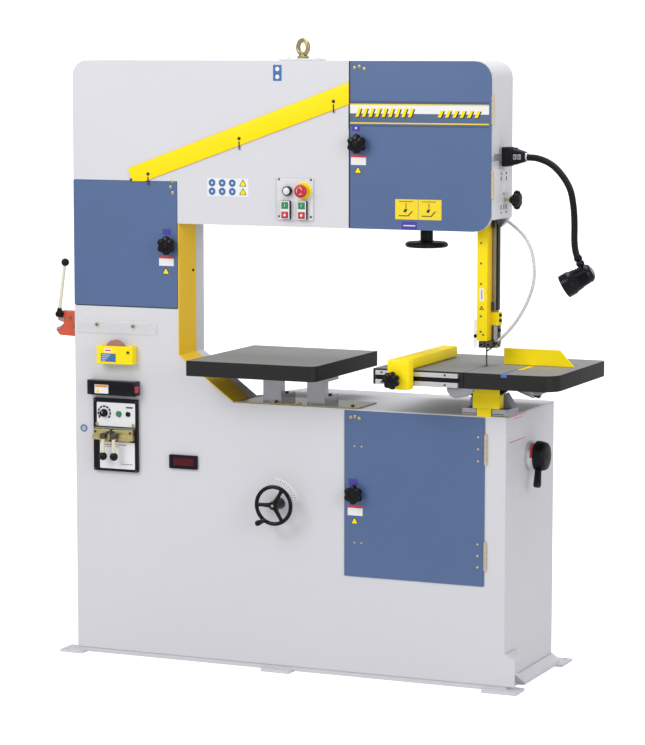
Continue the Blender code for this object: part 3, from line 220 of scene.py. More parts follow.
def materials():
    """Every finish of the machine, by the name of its slot or use."""
    blue = (0.078, 0.135, 0.285)
    yellow = (0.98, 0.76, 0.002)
    recipes = {
        "grey_paint": dict(colour=(0.66, 0.66, 0.7), roughness=0.42, drift=0.025, drift_scale=2.5,
                           coat=0.15),
        "blue_paint": dict(colour=blue, roughness=0.36, drift=0.09, drift_scale=3.0, coat=0.1),
        "yellow_paint": dict(colour=yellow, roughness=0.42, drift=0.03, Specular_IOR_Level=0.25),
        "amber_paint": dict(colour=(0.95, 0.6, 0.008), roughness=0.4, drift=0.05, Specular_IOR_Level=0.3),
        "red_paint": dict(colour=(0.62, 0.085, 0.035), roughness=0.42, drift=0.1, drift_scale=60,
                          grain=0.35, grain_scale=260, grain_depth=0.0008, coat=0.2),
        "panel_grey": dict(colour=(0.72, 0.72, 0.75), roughness=0.38, drift=0.02),
        "white_paint": dict(colour=(0.8, 0.8, 0.82), roughness=0.38, drift=0.02, coat=0.2),
        "motor_paint": dict(colour=(0.055, 0.075, 0.115), roughness=0.45, drift=0.1, grain=0.3,
                            grain_scale=300, grain_depth=0.0005),
        "table_iron": dict(colour=(0.012, 0.012, 0.012), roughness=0.5, drift=0.1, drift_scale=18,
                           grain=0.35, grain_scale=420, grain_depth=0.0006, Specular_IOR_Level=0.3,
                           other=((0.24, 0.24, 0.24), above("Normal", "Z", 0.92, 0.02))),
        "machined_steel": dict(colour=(0.42, 0.42, 0.45), roughness=0.34, metallic=0.85, drift=0.08,
                               drift_scale=20, grain=0.25, grain_scale=900, stretch=(0.08, 1, 1)),
        "cast_iron": dict(colour=(0.3, 0.3, 0.33), roughness=0.55, metallic=0.3, drift=0.12, drift_scale=30,
                          grain=0.5, grain_scale=350, grain_depth=0.0008),
        "mitre_bar": dict(colour=(0.045, 0.14, 0.5), roughness=0.34, drift=0.06, coat=0.2,
                          other=((0.86, 0.62, 0.01), above("Object", "Y", 0.03 + OFFSET.y))),
        "hinge_steel": dict(colour=(0.62, 0.52, 0.36), roughness=0.45, metallic=0.55, drift=0.25,
                            drift_scale=90, grain=0.3, grain_scale=500, grain_depth=0.0005),
        "cast_paint": dict(colour=(0.4, 0.4, 0.47), roughness=0.45, metallic=0.2, drift=0.15,
                           drift_scale=30, grain=0.5, grain_scale=350, grain_depth=0.0008),
        "dark_steel": dict(colour=(0.1, 0.09, 0.085), roughness=0.36, metallic=0.75, drift=0.18,
                           drift_scale=40, grain=0.25, grain_scale=800),
        "post_steel": dict(colour=(0.36, 0.33, 0.27), roughness=0.36, metallic=0.6, drift=0.15,
                           drift_scale=26, grain=0.25, grain_scale=800, stretch=(1, 1, 0.1)),
        "blade_steel": dict(colour=(0.08, 0.08, 0.085), roughness=0.32, metallic=0.85, drift=0.12,
                            drift_scale=25, grain=0.2, grain_scale=900, stretch=(1, 1, 0.06)),
        "chrome": dict(colour=(0.72, 0.72, 0.74), roughness=0.16, metallic=1.0, drift=0.04, drift_scale=40,
                       grain=0.05, grain_scale=900, gloss_spread=0.04),
        "brass": dict(colour=(0.52, 0.44, 0.19), roughness=0.34, metallic=0.75, drift=0.25, drift_scale=70,
                      grain=0.3, grain_scale=700),
        "zinc_yellow": dict(colour=(0.36, 0.3, 0.13), roughness=0.32, metallic=0.8, drift=0.3,
                            drift_scale=45, grain=0.2, grain_scale=500),
        "aluminium_trim": dict(colour=(0.66, 0.66, 0.67), roughness=0.32, metallic=0.7, drift=0.05,
                               drift_scale=20, grain=0.2, grain_scale=900, stretch=(0.06, 1, 1)),
        "black_plastic": dict(colour=(0.006, 0.006, 0.01), roughness=0.38, drift=0.15, drift_scale=30,
                              grain=0.3, grain_scale=900, grain_depth=0.0003, Specular_IOR_Level=0.18),
        "gloss_black": dict(colour=(0.004, 0.004, 0.007), roughness=0.2, drift=0.2, drift_scale=40,
                            grain=0.06, grain_scale=300, gloss_spread=0.05, Specular_IOR_Level=0.22),
        "ivory_plastic": dict(colour=(0.74, 0.7, 0.55), roughness=0.35, drift=0.05, drift_scale=40),
        "green_plastic": dict(colour=(0.02, 0.24, 0.085), roughness=0.28, drift=0.08, drift_scale=60,
                              grain=0.08, coat=0.1),
        "red_plastic": dict(colour=(0.52, 0.016, 0.04), roughness=0.28, drift=0.08, drift_scale=60,
                            grain=0.08, coat=0.1),
        "hose_plastic": dict(colour=(0.8, 0.81, 0.8), roughness=0.2, drift=0.04, drift_scale=30, grain=0.08,
                             Transmission_Weight=0.35, IOR=1.42, Subsurface_Weight=0.2),
        "clear_plastic": dict(colour=(0.86, 0.87, 0.88), roughness=0.1, drift=0.01, drift_scale=10,
                              grain=0.03, gloss_spread=0.03, Alpha=0.22),
        "display_glass": dict(colour=(0.085, 0.002, 0.01), roughness=0.12, drift=0.2, drift_scale=60,
                              grain=0.03, gloss_spread=0.03, Specular_IOR_Level=0.25),
        "belt_rubber": dict(colour=(0.018, 0.018, 0.018), roughness=0.72, drift=0.15, drift_scale=40,
                            grain=0.5, grain_scale=500, grain_depth=0.0005),
        "grinding_stone": dict(colour=(0.42, 0.2, 0.16), roughness=0.85, drift=0.18, drift_scale=400,
                               grain=0.9, grain_scale=900, grain_depth=0.0012),
        "lamp_lens": dict(colour=(0.75, 0.76, 0.76), roughness=0.15, drift=0.04, drift_scale=90, grain=0.3,
                          grain_scale=260, grain_depth=0.001, coat=0.4),
        "stand_steel": dict(colour=(0.24, 0.21, 0.13), roughness=0.16, metallic=0.9, drift=0.12,
                            drift_scale=14, grain=0.08, grain_scale=600, gloss_spread=0.05,
                            other=((0.42, 0.42, 0.46), above("Object", "Z", BASE_TOP + 0.0048))),
    }
    for name, (colour, drift) in LABELS.items():
        recipes[name] = dict(colour=colour, roughness=0.35, drift=drift, grain=0.05)
    return {name: finish(name, **recipe) for name, recipe in recipes.items()}


# Solids

OUT, IN, UP, RIGHT = (0, -1, 0), (0, 1, 0), (0, 0, 1), (1, 0, 0)
PLANES = {
    "XZ": lambda a, b, depth: (a, depth, b),
    "XY": lambda a, b, depth: (a, b, depth),
    "YZ": lambda a, b, depth: (depth, a, b),
}


def arc(centre, radius, start, end, steps):
    """Points along an arc, with both ends."""
    turn = [math.radians(start + (end - start) * i / steps) for i in range(steps + 1)]
    return [(centre[0] + radius * math.cos(a), centre[1] + radius * math.sin(a)) for a in turn]


def disc(x, z, radius, steps=36):
    """The points of a circle."""
    return arc((x, z), radius, 0, 360 - 360 / steps, steps - 1)


def rect(left, right, bottom, top):
    """The corners of a rectangle."""
    return [(left, bottom), (right, bottom), (right, top), (left, top)]


def soft_rect(left, right, bottom, top, radius, steps=5):
    """A rectangle with rounded corners."""
    return (
        arc((right - radius, bottom + radius), radius, -90, 0, steps)
        + arc((right - radius, top - radius), radius, 0, 90, steps)
        + arc((left + radius, top - radius), radius, 90, 180, steps)
        + arc((left + radius, bottom + radius), radius, 180, 270, steps)
    )


def triangle(x, z, size):
    """An upright triangle with blunt corners."""
    return [p for turn in (210, 330, 90) for p in arc(
        (x + 0.42 * size * math.cos(math.radians(turn)), z + 0.42 * size * math.sin(math.radians(turn))),
        0.1 * size, turn - 60, turn + 60, 3)]


def smooth_route(points, spacing):
    """Points at even spacing along a smooth curve through the given ones."""
    places = [Vector(point) for point in points]
    ends = [2 * places[0] - places[1], *places, 2 * places[-1] - places[-2]]
    fine = []
    for i in range(1, len(ends) - 2):
        a, b, c, d = ends[i - 1 : i + 3]
        for step in range(20):
            t = step / 20
            fine.append(
                0.5
                * (2 * b + (c - a) * t + (2 * a - 5 * b + 4 * c - d) * t**2 + (3 * b - a - 3 * c + d) * t**3)
            )
    fine.append(places[-1])
    length = sum((b - a).length for a, b in zip(fine, fine[1:]))
    count = max(2, round(length / spacing))
    route, walked, target = [fine[0]], 0.0, length / count
    for a, b in zip(fine, fine[1:]):
        step = (b - a).length
        while walked + step >= target - 1e-9 and len(route) < count:
            route.append(a.lerp(b, (target - walked) / step))
            target += length / count
        walked += step
    return [*route, fine[-1]]


class Piece:
    """Solids of one finish that make one piece."""

    def __init__(self, name):
        self.name = name
        self.mesh = bmesh.new()

    def _keep(self, solid, edge=0.0, segments=2):
        """Takes the vertices and faces of one solid into the piece."""
        bmesh.ops.recalc_face_normals(solid, faces=solid.faces)
        if edge:
            sharp = [e for e in solid.edges if len(e.link_faces) == 2 and e.calc_face_angle(0) > 0.5]
            bmesh.ops.bevel(solid, geom=sharp, offset=edge, segments=segments, profile=0.6, affect="EDGES",
                            clamp_overlap=True)
        data = bpy.data.meshes.new("solid")
        solid.to_mesh(data)
        solid.free()
        self.mesh.from_mesh(data)
        bpy.data.meshes.remove(data)
        return self

    def block(self, low, high, edge=0.0006, segments=2):
        """A box with its edges eased."""
        low, high = Vector(low), Vector(high)
        solid = bmesh.new()
        bmesh.ops.create_cube(solid, size=1)
        size = Matrix.Diagonal((*(high - low), 1))
        bmesh.ops.transform(solid, matrix=Matrix.Translation((low + high) / 2) @ size, verts=solid.verts)
        return self._keep(solid, edge, segments)

    def rings(self, rings, loop=False):
        """A skin over rings of equally many points, closed at its ends. A ring of one point is a tip."""
        solid = bmesh.new()
        made = [[solid.verts.new(p) for p in ring] for ring in rings]
        pairs = list(zip(made, made[1:])) + ([(made[-1], made[0])] if loop else [])
        for a, b in pairs:
            count = max(len(a), len(b))
            for i in range(count):
                j = (i + 1) % count
                corners = []
                for v in (a[i % len(a)], a[j % len(a)], b[j % len(b)], b[i % len(b)]):
                    if v not in corners:
                        corners.append(v)
                if len(corners) > 2:
                    solid.faces.new(corners)
        if not loop:
            for ring in (made[0], made[-1]):
                if len(ring) > 2:
                    solid.faces.new(ring)
        return self._keep(solid, 0.0)

    def lathe(self, outline, at, axis, steps=48, loop=False, lobes=0, depth=0.0):
        """(radius, along) points turned about an axis. Lobes wave the radius in proportion to it."""
        turn = Vector(axis).to_track_quat("Z", "Y")
        widest = max(radius for radius, _ in outline)
        rings = []
        for radius, along in outline:
            ring = []
            for i in range(steps if radius > 1e-6 else 1):
                angle = 2 * math.pi * i / steps
                wave = 2 * abs(math.sin(lobes * angle / 2)) - 1.4 if lobes else 0
                out = radius + depth * radius / widest * wave
                ring.append(turn @ Vector((out * math.cos(angle), out * math.sin(angle), along)) + Vector(at))
            rings.append(ring)
        return self.rings(rings, loop)

    def rod(self, start, end, radius, end_radius=None, sides=32):
        """A round bar with its rims eased."""
        a, b = Vector(start), Vector(end)
        far = radius if end_radius is None else end_radius
        length = (b - a).length
        e = min(0.0006, 0.2 * radius, 0.2 * length)
        outline = [(0, 0), (radius - e, 0), (radius, e), (far, length - e), (far - e, length), (0, length)]
        return self.lathe(outline, a, b - a, sides)

    def ring(self, at, axis, radius, thickness, steps=56, sides=14):
        """A torus."""
        outline = [(radius + thickness * math.cos(a), thickness * math.sin(a))
                   for a in (-2 * math.pi * i / sides for i in range(sides))]
        return self.lathe(outline, at, axis, steps, loop=True)

    def ball(self, at, radius, axis=UP, steps=28):
        """A ball."""
        outline = [(radius * math.sin(a), -radius * math.cos(a))
                   for a in (math.pi * i / 14 for i in range(15))]
        outline[0], outline[-1] = (0, outline[0][1]), (0, outline[-1][1])
        return self.lathe(outline, at, axis, steps)

    def plate(self, outlines, plane, low, high, edge=0.0, segments=2):
        """A flat plate between two depths. The first outline is its edge, and the rest are holes in it."""
        solid = bmesh.new()
        loops = [[Vector((*p, 0)) for p in outline] for outline in outlines]
        faces = tessellate_polygon(loops)
        layers = []
        for depth in (low, high):
            verts = [solid.verts.new(PLANES[plane](p.x, p.y, depth)) for loop in loops for p in loop]
            layers.append(verts)
            if len(outlines) == 1:
                solid.faces.new(verts)
            else:
                for face in faces:
                    if len({*face}) == 3 and not solid.faces.get([verts[i] for i in face]):
                        solid.faces.new([verts[i] for i in face])
        first = 0
        for loop in loops:
            for i in range(len(loop)):
                a, b = first + i, first + (i + 1) % len(loop)
                solid.faces.new((layers[0][a], layers[0][b], layers[1][b], layers[1][a]))
            first += len(loop)
        return self._keep(solid, edge, segments)

    def tube(self, points, radius, sides=16):
        """A round tube along points. The radius is one number or a function of the point's index."""
        points = [Vector(p) for p in points]
        size = radius if callable(radius) else lambda i: radius
        rings, side = [], None
        for i, point in enumerate(points):
            along = (points[min(i + 1, len(points) - 1)] - points[max(i - 1, 0)]).normalized()
            side = (side or along.orthogonal()) - (side or along.orthogonal()).dot(along) * along
            side.normalize()
            up = along.cross(side)
            turn = [2 * math.pi * k / sides for k in range(sides)]
            rings.append([point + size(i) * (math.cos(a) * side + math.sin(a) * up) for a in turn])
        return self.rings(rings)

    def screw(self, at, axis, radius, height, kind="socket"):
        """A screw's head standing on a face: socket, slot, dome or hex."""
        at, axis = Vector(at), Vector(axis).normalized()
        if kind == "hex":
            self.lathe([(0, 0), (radius, 0), (radius, height * 0.8), (radius * 0.9, height), (0, height)], at,
                       axis, 6)
            return self.lathe([(0, 0), (radius * 1.25, 0), (radius * 1.25, height * 0.18),
                               (0, height * 0.18)], at, axis, 28)
        well = 0.45 * radius if kind == "socket" else 0.15 * radius
        outline = [(0, 0), (radius, 0), (radius, 0.65 * height), (0.82 * radius, height), (well, height),
                   (well, 0.5 * height), (0, 0.5 * height)]
        if kind == "dome":
            crown = [(radius * c, height * s) for c, s in arc((0, 0), 1, 12, 90, 6)[:-1]]
            outline = [(0, 0), (radius, 0), *crown, (0, height)]
        return self.lathe(outline, at, axis, 20)

    def done(self, body, finish_name, slot=None, replaces=(), angle=38):
        """Makes the piece, gives it its finish and lets it ride on a body."""
        bmesh.ops.translate(self.mesh, verts=self.mesh.verts, vec=OFFSET)
        data = bpy.data.meshes.new(self.name)
        self.mesh.to_mesh(data)
        self.mesh.free()
        data.materials.append(FINISH[finish_name])
        data.shade_smooth()
        data.set_sharp_from_angle(angle=math.radians(angle))
        made = bpy.data.objects.new(self.name, data)
        bpy.context.scene.collection.objects.link(made)
        if body:
            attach(made, body)
        if replaces:
            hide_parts(*replaces)
        return made


FINISH = materials()


def screw_group(name, body, look, places, radius, height, kind="socket", axis=OUT):
    """Equal screw heads, one at each place. look is the finish, with a slot after it where that differs; the
    slot is not used.
    """
    piece = Piece(name)
    for place in places:
        piece.screw(place, axis, radius, height, kind)
    piece.done(body, *look)


def prints(body, name, face, layers, normal=-1, plane="XZ"):
    """Printed marks on a face: {finish: (layer, [outlines])}. A higher layer lies over a lower one."""
    for finish_name, (layer, outlines) in layers.items():
        piece = Piece(f"{name}_{finish_name.replace('label_', '')}")
        far = face + normal * (0.00025 + 0.00015 * layer)
        for outline in outlines:
            piece.plate([outline], plane, min(face, far), max(face, far))
        piece.done(body, finish_name)


def refine(name, finish_name, width=0.0008, segments=2, angle=30):
    """Gives a CAD node its finish, with its edges eased."""
    shown = NODES[name]
    shown.data.materials.clear()
    shown.data.materials.append(FINISH[finish_name])
    if "custom_normal" in shown.data.attributes:
        shown.data.attributes.remove(shown.data.attributes["custom_normal"])
    shown.data.shade_smooth()
    shown.data.set_sharp_from_angle(angle=math.radians(angle))
    weld = shown.modifiers.new("weld", "WELD")
    weld.merge_threshold = 0.00001
    if width:
        ease = shown.modifiers.new("ease", "BEVEL")
        ease.width = width
        ease.segments = segments
        ease.limit_method = "ANGLE"
        ease.angle_limit = math.radians(angle)
        ease.harden_normals = True
    return shown


# Air hose

HOSE = [
    (1.396, 0.152, 1.46),
    (1.4, 0.151, 1.438),
    (1.418, 0.146, 1.422),
    (1.4429, 0.134, 1.408),
    (1.479, 0.12, 1.38),
    (1.506, 0.108, 1.338),
    (1.518, 0.1, 1.286),
    (1.516, 0.094, 1.234),
    (1.495, 0.092, 1.175),
    (1.462, 0.092, 1.121),
    (1.43, 0.094, 1.085),
    (1.412, 0.096, 1.068),
]
HOSE_RADIUS = 0.005


def air_hose():
    """The milky hose from the arm's end to the nozzle. It follows the guide post at its lower end."""
    route = smooth_route(HOSE, 0.022)
    fine = smooth_route([tuple(p) for p in route], 0.006)
    hose = Piece("air_hose_tube").tube(fine, HOSE_RADIUS, 20)
    hose = hose.done(None, "hose_plastic", replaces=["air_hose"])
    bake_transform(hose)


# Frame, doors and covers


def frame_panels():
    """The frame's panels, doors and throat cover given their finishes, with two screws and a weld seam."""
    for name in ("base_frame", "base_front_panel", "base_shell", "base_top_panel", "throat_panel",
                 "left_side_panel", "rear_panel", "arm_front_panel", "arm_shell"):
        refine(name, "grey_paint")
    for name in ("left_door", "upper_door", "lower_door"):
        refine(name, "blue_paint", 0.001)
    refine("throat_blade_cover", "amber_paint", 0.0006)
    screw_group("throat_cover_screws", "frame", ["gloss_black"],
                [(0.3705 + 0.0028, 0.0991, z) for z in (1.43, 1.245)], 0.0045, 0.0032, axis=RIGHT)
    seams = Piece("frame_weld_seams")
    seams.tube(smooth_route([(BASE_END - 0.001, 0.0015, 0.15), (BASE_END - 0.001, 0.0015, 0.83)], 0.02),
               0.0012, 8)
    seams.done("frame", "grey_paint")


def arm_cover():
    """The slanted cover over the blade's return run, hooked on three keyhole screws."""
    door_top = DOOR_LEFT_HIGH.z + 0.0006
    right = DOOR_UP_LOW.x - 0.0012
    outline = [(0.2108, door_top), (0.256, door_top), (right, 1.7765), (right, 1.8415), (0.1998, 1.568)]
    back = -0.0002
    Piece("arm_blade_cover").plate([outline], "XZ", -0.0045, back, 0.0009).done("frame", "yellow_paint")
    inset = 0.0022
    # The rim is a darker amber than the cover: painted shade on its folded edges.
    rim = Piece("arm_cover_edge")
    for a, b in zip(outline, outline[1:] + outline[:1]):
        start, end = Vector((*a, 0)), Vector((*b, 0))
        rim.tube([(p.x, -0.003, p.y) for p in (start, start.lerp(end, 0.5), end)], inset * 0.6, 8)
    rim.done("frame", "amber_paint")
    marks = Piece("arm_cover_screws")
    for x, z in ((0.269, 1.552), (0.586, 1.667), (0.904, 1.784)):
        marks.screw((x, -0.0045, z), OUT, 0.0056, 0.003, "dome")
        marks.plate([soft_rect(x - 0.0021, x + 0.0021, z - 0.035, z - 0.0085, 0.002)], "XZ", -0.005, -0.0044)
    marks.screw((0.209, -0.004, door_top + 0.0035), OUT, 0.0045, 0.0025, "dome")
    marks.done("frame", "label_dark", "gloss_black")


def hinge(door, name, x, y, low, high, screw_x):
    """A lift-off hinge of five knuckles. Three stay on the frame and two go with the door."""
    step = (high - low) / 5
    for part, body, turns in (("fixed", "frame", (0, 2, 4)), ("moving", door, (1, 3))):
        piece = Piece(f"{name}_{part}_knuckles")
        for i in turns:
            piece.rod((x, y, low + step * i + 0.0003), (x, y, low + step * (i + 1) - 0.0003), 0.0047,
                      sides=24)
        if part == "fixed":
            piece.rod((x, y, low - 0.0025), (x, y, high + 0.0025), 0.0026, sides=16)
        piece.done(body, "hinge_steel", "brass")
    if screw_x is not None:
        places = [(screw_x, DOOR_DOWN_LOW.y, low + step * (0.5 + 2 * i)) for i in range(3)]
        screw_group(f"{name}_screws", door, ["hinge_steel", "brass"], places, 0.0036, 0.0018, "slot")


def hinges():
    """The hinges of the upper and the lower door."""
    right = DOOR_DOWN_HIGH.x
    for i, (low, high) in enumerate(((0.371, 0.459), (0.696, 0.788))):
        hinge("lower_door", f"lower_hinge_{i}", right + 0.003, -0.0035, low, high, right - 0.021)
    for i, (low, high) in enumerate(((1.497, 1.583), (1.718, 1.807))):
        hinge("upper_door", f"upper_hinge_{i}", DOOR_UP_HIGH.x + 0.0035, 0.0015, low, high, None)


def door_prints():
    """The wordless marks on the three doors, and painted shade along the gaps round them."""
    left, right = DOOR_UP_LOW.x + 0.0027, DOOR_UP_HIGH.x - 0.0082

    def band(low, high):
        return rect(left, right, low, high)

    slants, shades = [], []
    for first, count, pitch, high in ((0.975, 9, 0.0215, 1.765), (1.243, 6, 0.0235, 1.76)):
        for i in range(count):
            x = first + pitch * i
            bar = [(x, 1.7385), (x + 0.01, 1.7385), (x + 0.02, high), (x + 0.01, high)]
            slants.append(bar)
            shades.append([(a + 0.0035, b - 0.0025) for a, b in bar])
    prints("upper_door", "upper_door_print", 0, {
        "label_navy": (0, [band(1.78, 1.786), band(1.709, 1.7136)]),
        "label_band": (0, [band(1.7224, 1.7485)]),
        "label_white": (1, [band(1.7485, 1.7738), rect(0.9604, 1.0099, 1.592, 1.615)]),
        "label_yellow": (1, [band(1.774, 1.7775), band(1.7176, 1.7213), rect(1.1063, 1.1805, 1.43, 1.491),
                             rect(1.182, 1.2563, 1.43, 1.491)]),
        "label_violet": (2, [rect(0.9636, 0.99, 1.695, 1.713), rect(1.128, 1.177, 1.3995, 1.4236)]),
        "label_red": (2, [rect(0.9604, 1.0099, 1.6152, 1.622)]),
        # The first dark strip, along the door's left edge, is painted shade at the door's gap; the triangle
        # and the bar shadows with it are print.
        "label_dark": (2, [rect(0.9546, 0.9572, 1.399, 1.906), triangle(0.9836, 1.5742, 0.024)] + shades),
        "yellow_paint": (3, slants + [triangle(0.9836, 1.574, 0.019)]),
    })
    prints("upper_door", "upper_door_diagram", -0.0004, {
        "label_dark": (2, [[(a + x, b) for a, b in shape] for x in (0, 0.0745) for shape in (
            [(1.118, 1.44), (1.15, 1.44), (1.164, 1.456), (1.16, 1.456), (1.148, 1.4425), (1.118, 1.4425)],
            [(1.133, 1.452), (1.142, 1.452), (1.146, 1.462), (1.137, 1.462)],
            rect(1.1405, 1.1425, 1.464, 1.48),
            rect(1.118, 1.164, 1.484, 1.4855))]),
        "label_white": (2, [disc(0.9768, 1.704, 0.0035, 16), rect(1.133, 1.172, 1.41, 1.413)]),
    })
    prints("left_door", "left_door_print", 0, {
        "label_violet": (1, [rect(0.318, 0.346, 1.362, 1.38)]),
        "label_white": (1, [rect(0.304, 0.3555, 1.264, 1.2868)]),
        "label_red": (1, [rect(0.304, 0.3555, 1.287, 1.294)]),
        "label_dark": (1, [triangle(0.328, 1.2452, 0.024)]),
        "yellow_paint": (2, [triangle(0.328, 1.245, 0.019)]),
    })
    face = DOOR_DOWN_LOW.y
    prints("lower_door", "lower_door_print", face, {
        "label_violet": (1, [rect(0.955, 0.985, 0.606, 0.627)]),
        "label_white": (1, [rect(0.952, 1.002, 0.512, 0.5355)]),
        "label_red": (1, [rect(0.952, 1.002, 0.5357, 0.543)]),
        "label_dark": (1, [triangle(0.975, 0.4932, 0.024)]),
        "yellow_paint": (2, [triangle(0.975, 0.493, 0.019)]),
    })
    # Dark strips on the frame along the doors' edges: painted shade in the gaps round the doors.
    prints("frame", "door_gap_shade", 0, {"label_dark": (0, [
        rect(0.006, DOOR_LEFT_HIGH.x, DOOR_LEFT_LOW.z - 0.0032, DOOR_LEFT_LOW.z - 0.0004),
        rect(0.006, DOOR_LEFT_HIGH.x + 0.001, DOOR_LEFT_HIGH.z + 0.0003, DOOR_LEFT_HIGH.z + 0.0012),
        rect(DOOR_DOWN_LOW.x - 0.0014, DOOR_DOWN_LOW.x - 0.0003, DOOR_DOWN_LOW.z, DOOR_DOWN_HIGH.z),
        rect(DOOR_UP_LOW.x - 0.0026, DOOR_UP_LOW.x - 0.0006, 1.7, 1.77)])})
    screw_group("lower_door_latch_screws", "lower_door", ["hinge_steel", "brass"],
                [(x, face, z) for z in (0.728, 0.427) for x in (0.975, 0.998)], 0.003, 0.0015, "slot")
    for door, face_y, spots in (("left_door", 0, ((0.353, 1.53), (0.346, 1.512), (0.353, 1.494))),
                                ("upper_door", 0, ((0.972, 1.886), (0.988, 1.89), (1.004, 1.883))),
                                ("lower_door", face, ((0.962, 0.817), (0.976, 0.82), (0.99, 0.815)))):
        places = [(x, face_y, z) for x, z in spots]
        screw_group(f"{door}_top_rivets", door, ["brass"], places, 0.0052, 0.002, "slot")


def panel_prints():
    """The plain discs and triangles on the arm, the sign over them and the rule lines on the base's side."""
    rows = (1.502, 1.5285)
    discs = [disc(0.4905 + 0.0348 * i, z, 0.0118) for i in range(3) for z in rows]
    dots = [disc(0.4905 + 0.0348 * i, z, 0.0038, 14) for i in range(3) for z in rows]
    prints("frame", "sign_panel", 0, {
        "label_white": (0, [soft_rect(0.474, 0.615, 1.487, 1.543, 0.003)]),
        "label_blue": (1, discs),
        "label_dark": (1, [triangle(0.5965, z - 0.002, 0.025) for z in rows]),
        "yellow_paint": (2, [triangle(0.5965, z - 0.0022, 0.019) for z in rows]),
        "grey_paint": (2, dots),
    })
    prints("frame", "arm_sign", 0, {"label_blue": (0, [soft_rect(0.7, 0.729, 1.845, 1.894, 0.002)])})
    marks = [disc(0.7145, z, 0.0068, 24) for z in (1.8815, 1.8575)]
    prints("frame", "arm_sign_mark", -0.0004, {"label_white": (1, marks)})
    side = {"label_red": (1, [rect(0.027, 0.181, 0.8375, 0.84), rect(0.027, 0.181, 0.76, 0.7622),
                              rect(0.07, 0.145, 0.829, 0.8305), rect(0.03, 0.04, 0.775, 0.7765)])}
    prints("frame", "side_rule", BASE_END, side, 1, "YZ")


def latch_knobs():
    """The six-lobed locking knobs of the doors, with a sprung cap in the middle."""
    outline = [(0, 0.0), (0.0165, 0.0), (0.013, 0.004), (0.013, 0.0115), (0.0255, 0.013), (0.0285, 0.016),
               (0.0292, 0.023), (0.0275, 0.029), (0.0235, 0.0318), (0.012, 0.0322), (0.011, 0.0308),
               (0, 0.0308)]
    for name in ("left_door_knob", "upper_door_knob", "lower_door_knob"):
        low, high = span(name)
        at = ((low.x + high.x) / 2, high.y, (low.z + high.z) / 2)
        knob = Piece(f"{name}_grip").lathe(outline, at, OUT, 72, lobes=6, depth=0.0034)
        knob.done(name, "gloss_black", replaces=[name])
        cap = Piece(f"{name}_cap").lathe([(0, 0.03), (0.0096, 0.03), (0.0096, 0.0318), (0.006, 0.0326),
                                          (0, 0.0328)], at, OUT, 32)
        cap.done(name, "black_plastic")


def lifting_eye():
    """The eye on top of the frame."""
    low, high = span("lifting_eye")
    x, y = 0.761, 0.09
    lean = Vector((math.sin(math.radians(23)), math.cos(math.radians(23)), 0))
    plate = Piece("lifting_plate").block((low.x, low.y, low.z), (high.x, high.y, low.z + 0.006), 0.0012)
    for dx in (-0.05, 0.046):
        plate.screw((x + dx, y, low.z + 0.006), UP, 0.007, 0.004, "hex")
    plate.done("frame", "grey_paint", replaces=["lifting_eye"])
    eye = Piece("lifting_eye_bolt")
    eye.ring((x, y, low.z + 0.04), lean, 0.022, 0.007, 64, 20)
    eye.lathe([(0, 0.005), (0.0175, 0.005), (0.0185, 0.008), (0.017, 0.012), (0.012, 0.016), (0.0085, 0.02),
               (0.008, 0.024), (0, 0.024)], (x, y, low.z), UP, 40)
    eye.done("frame", "zinc_yellow", "brass")


# Controls


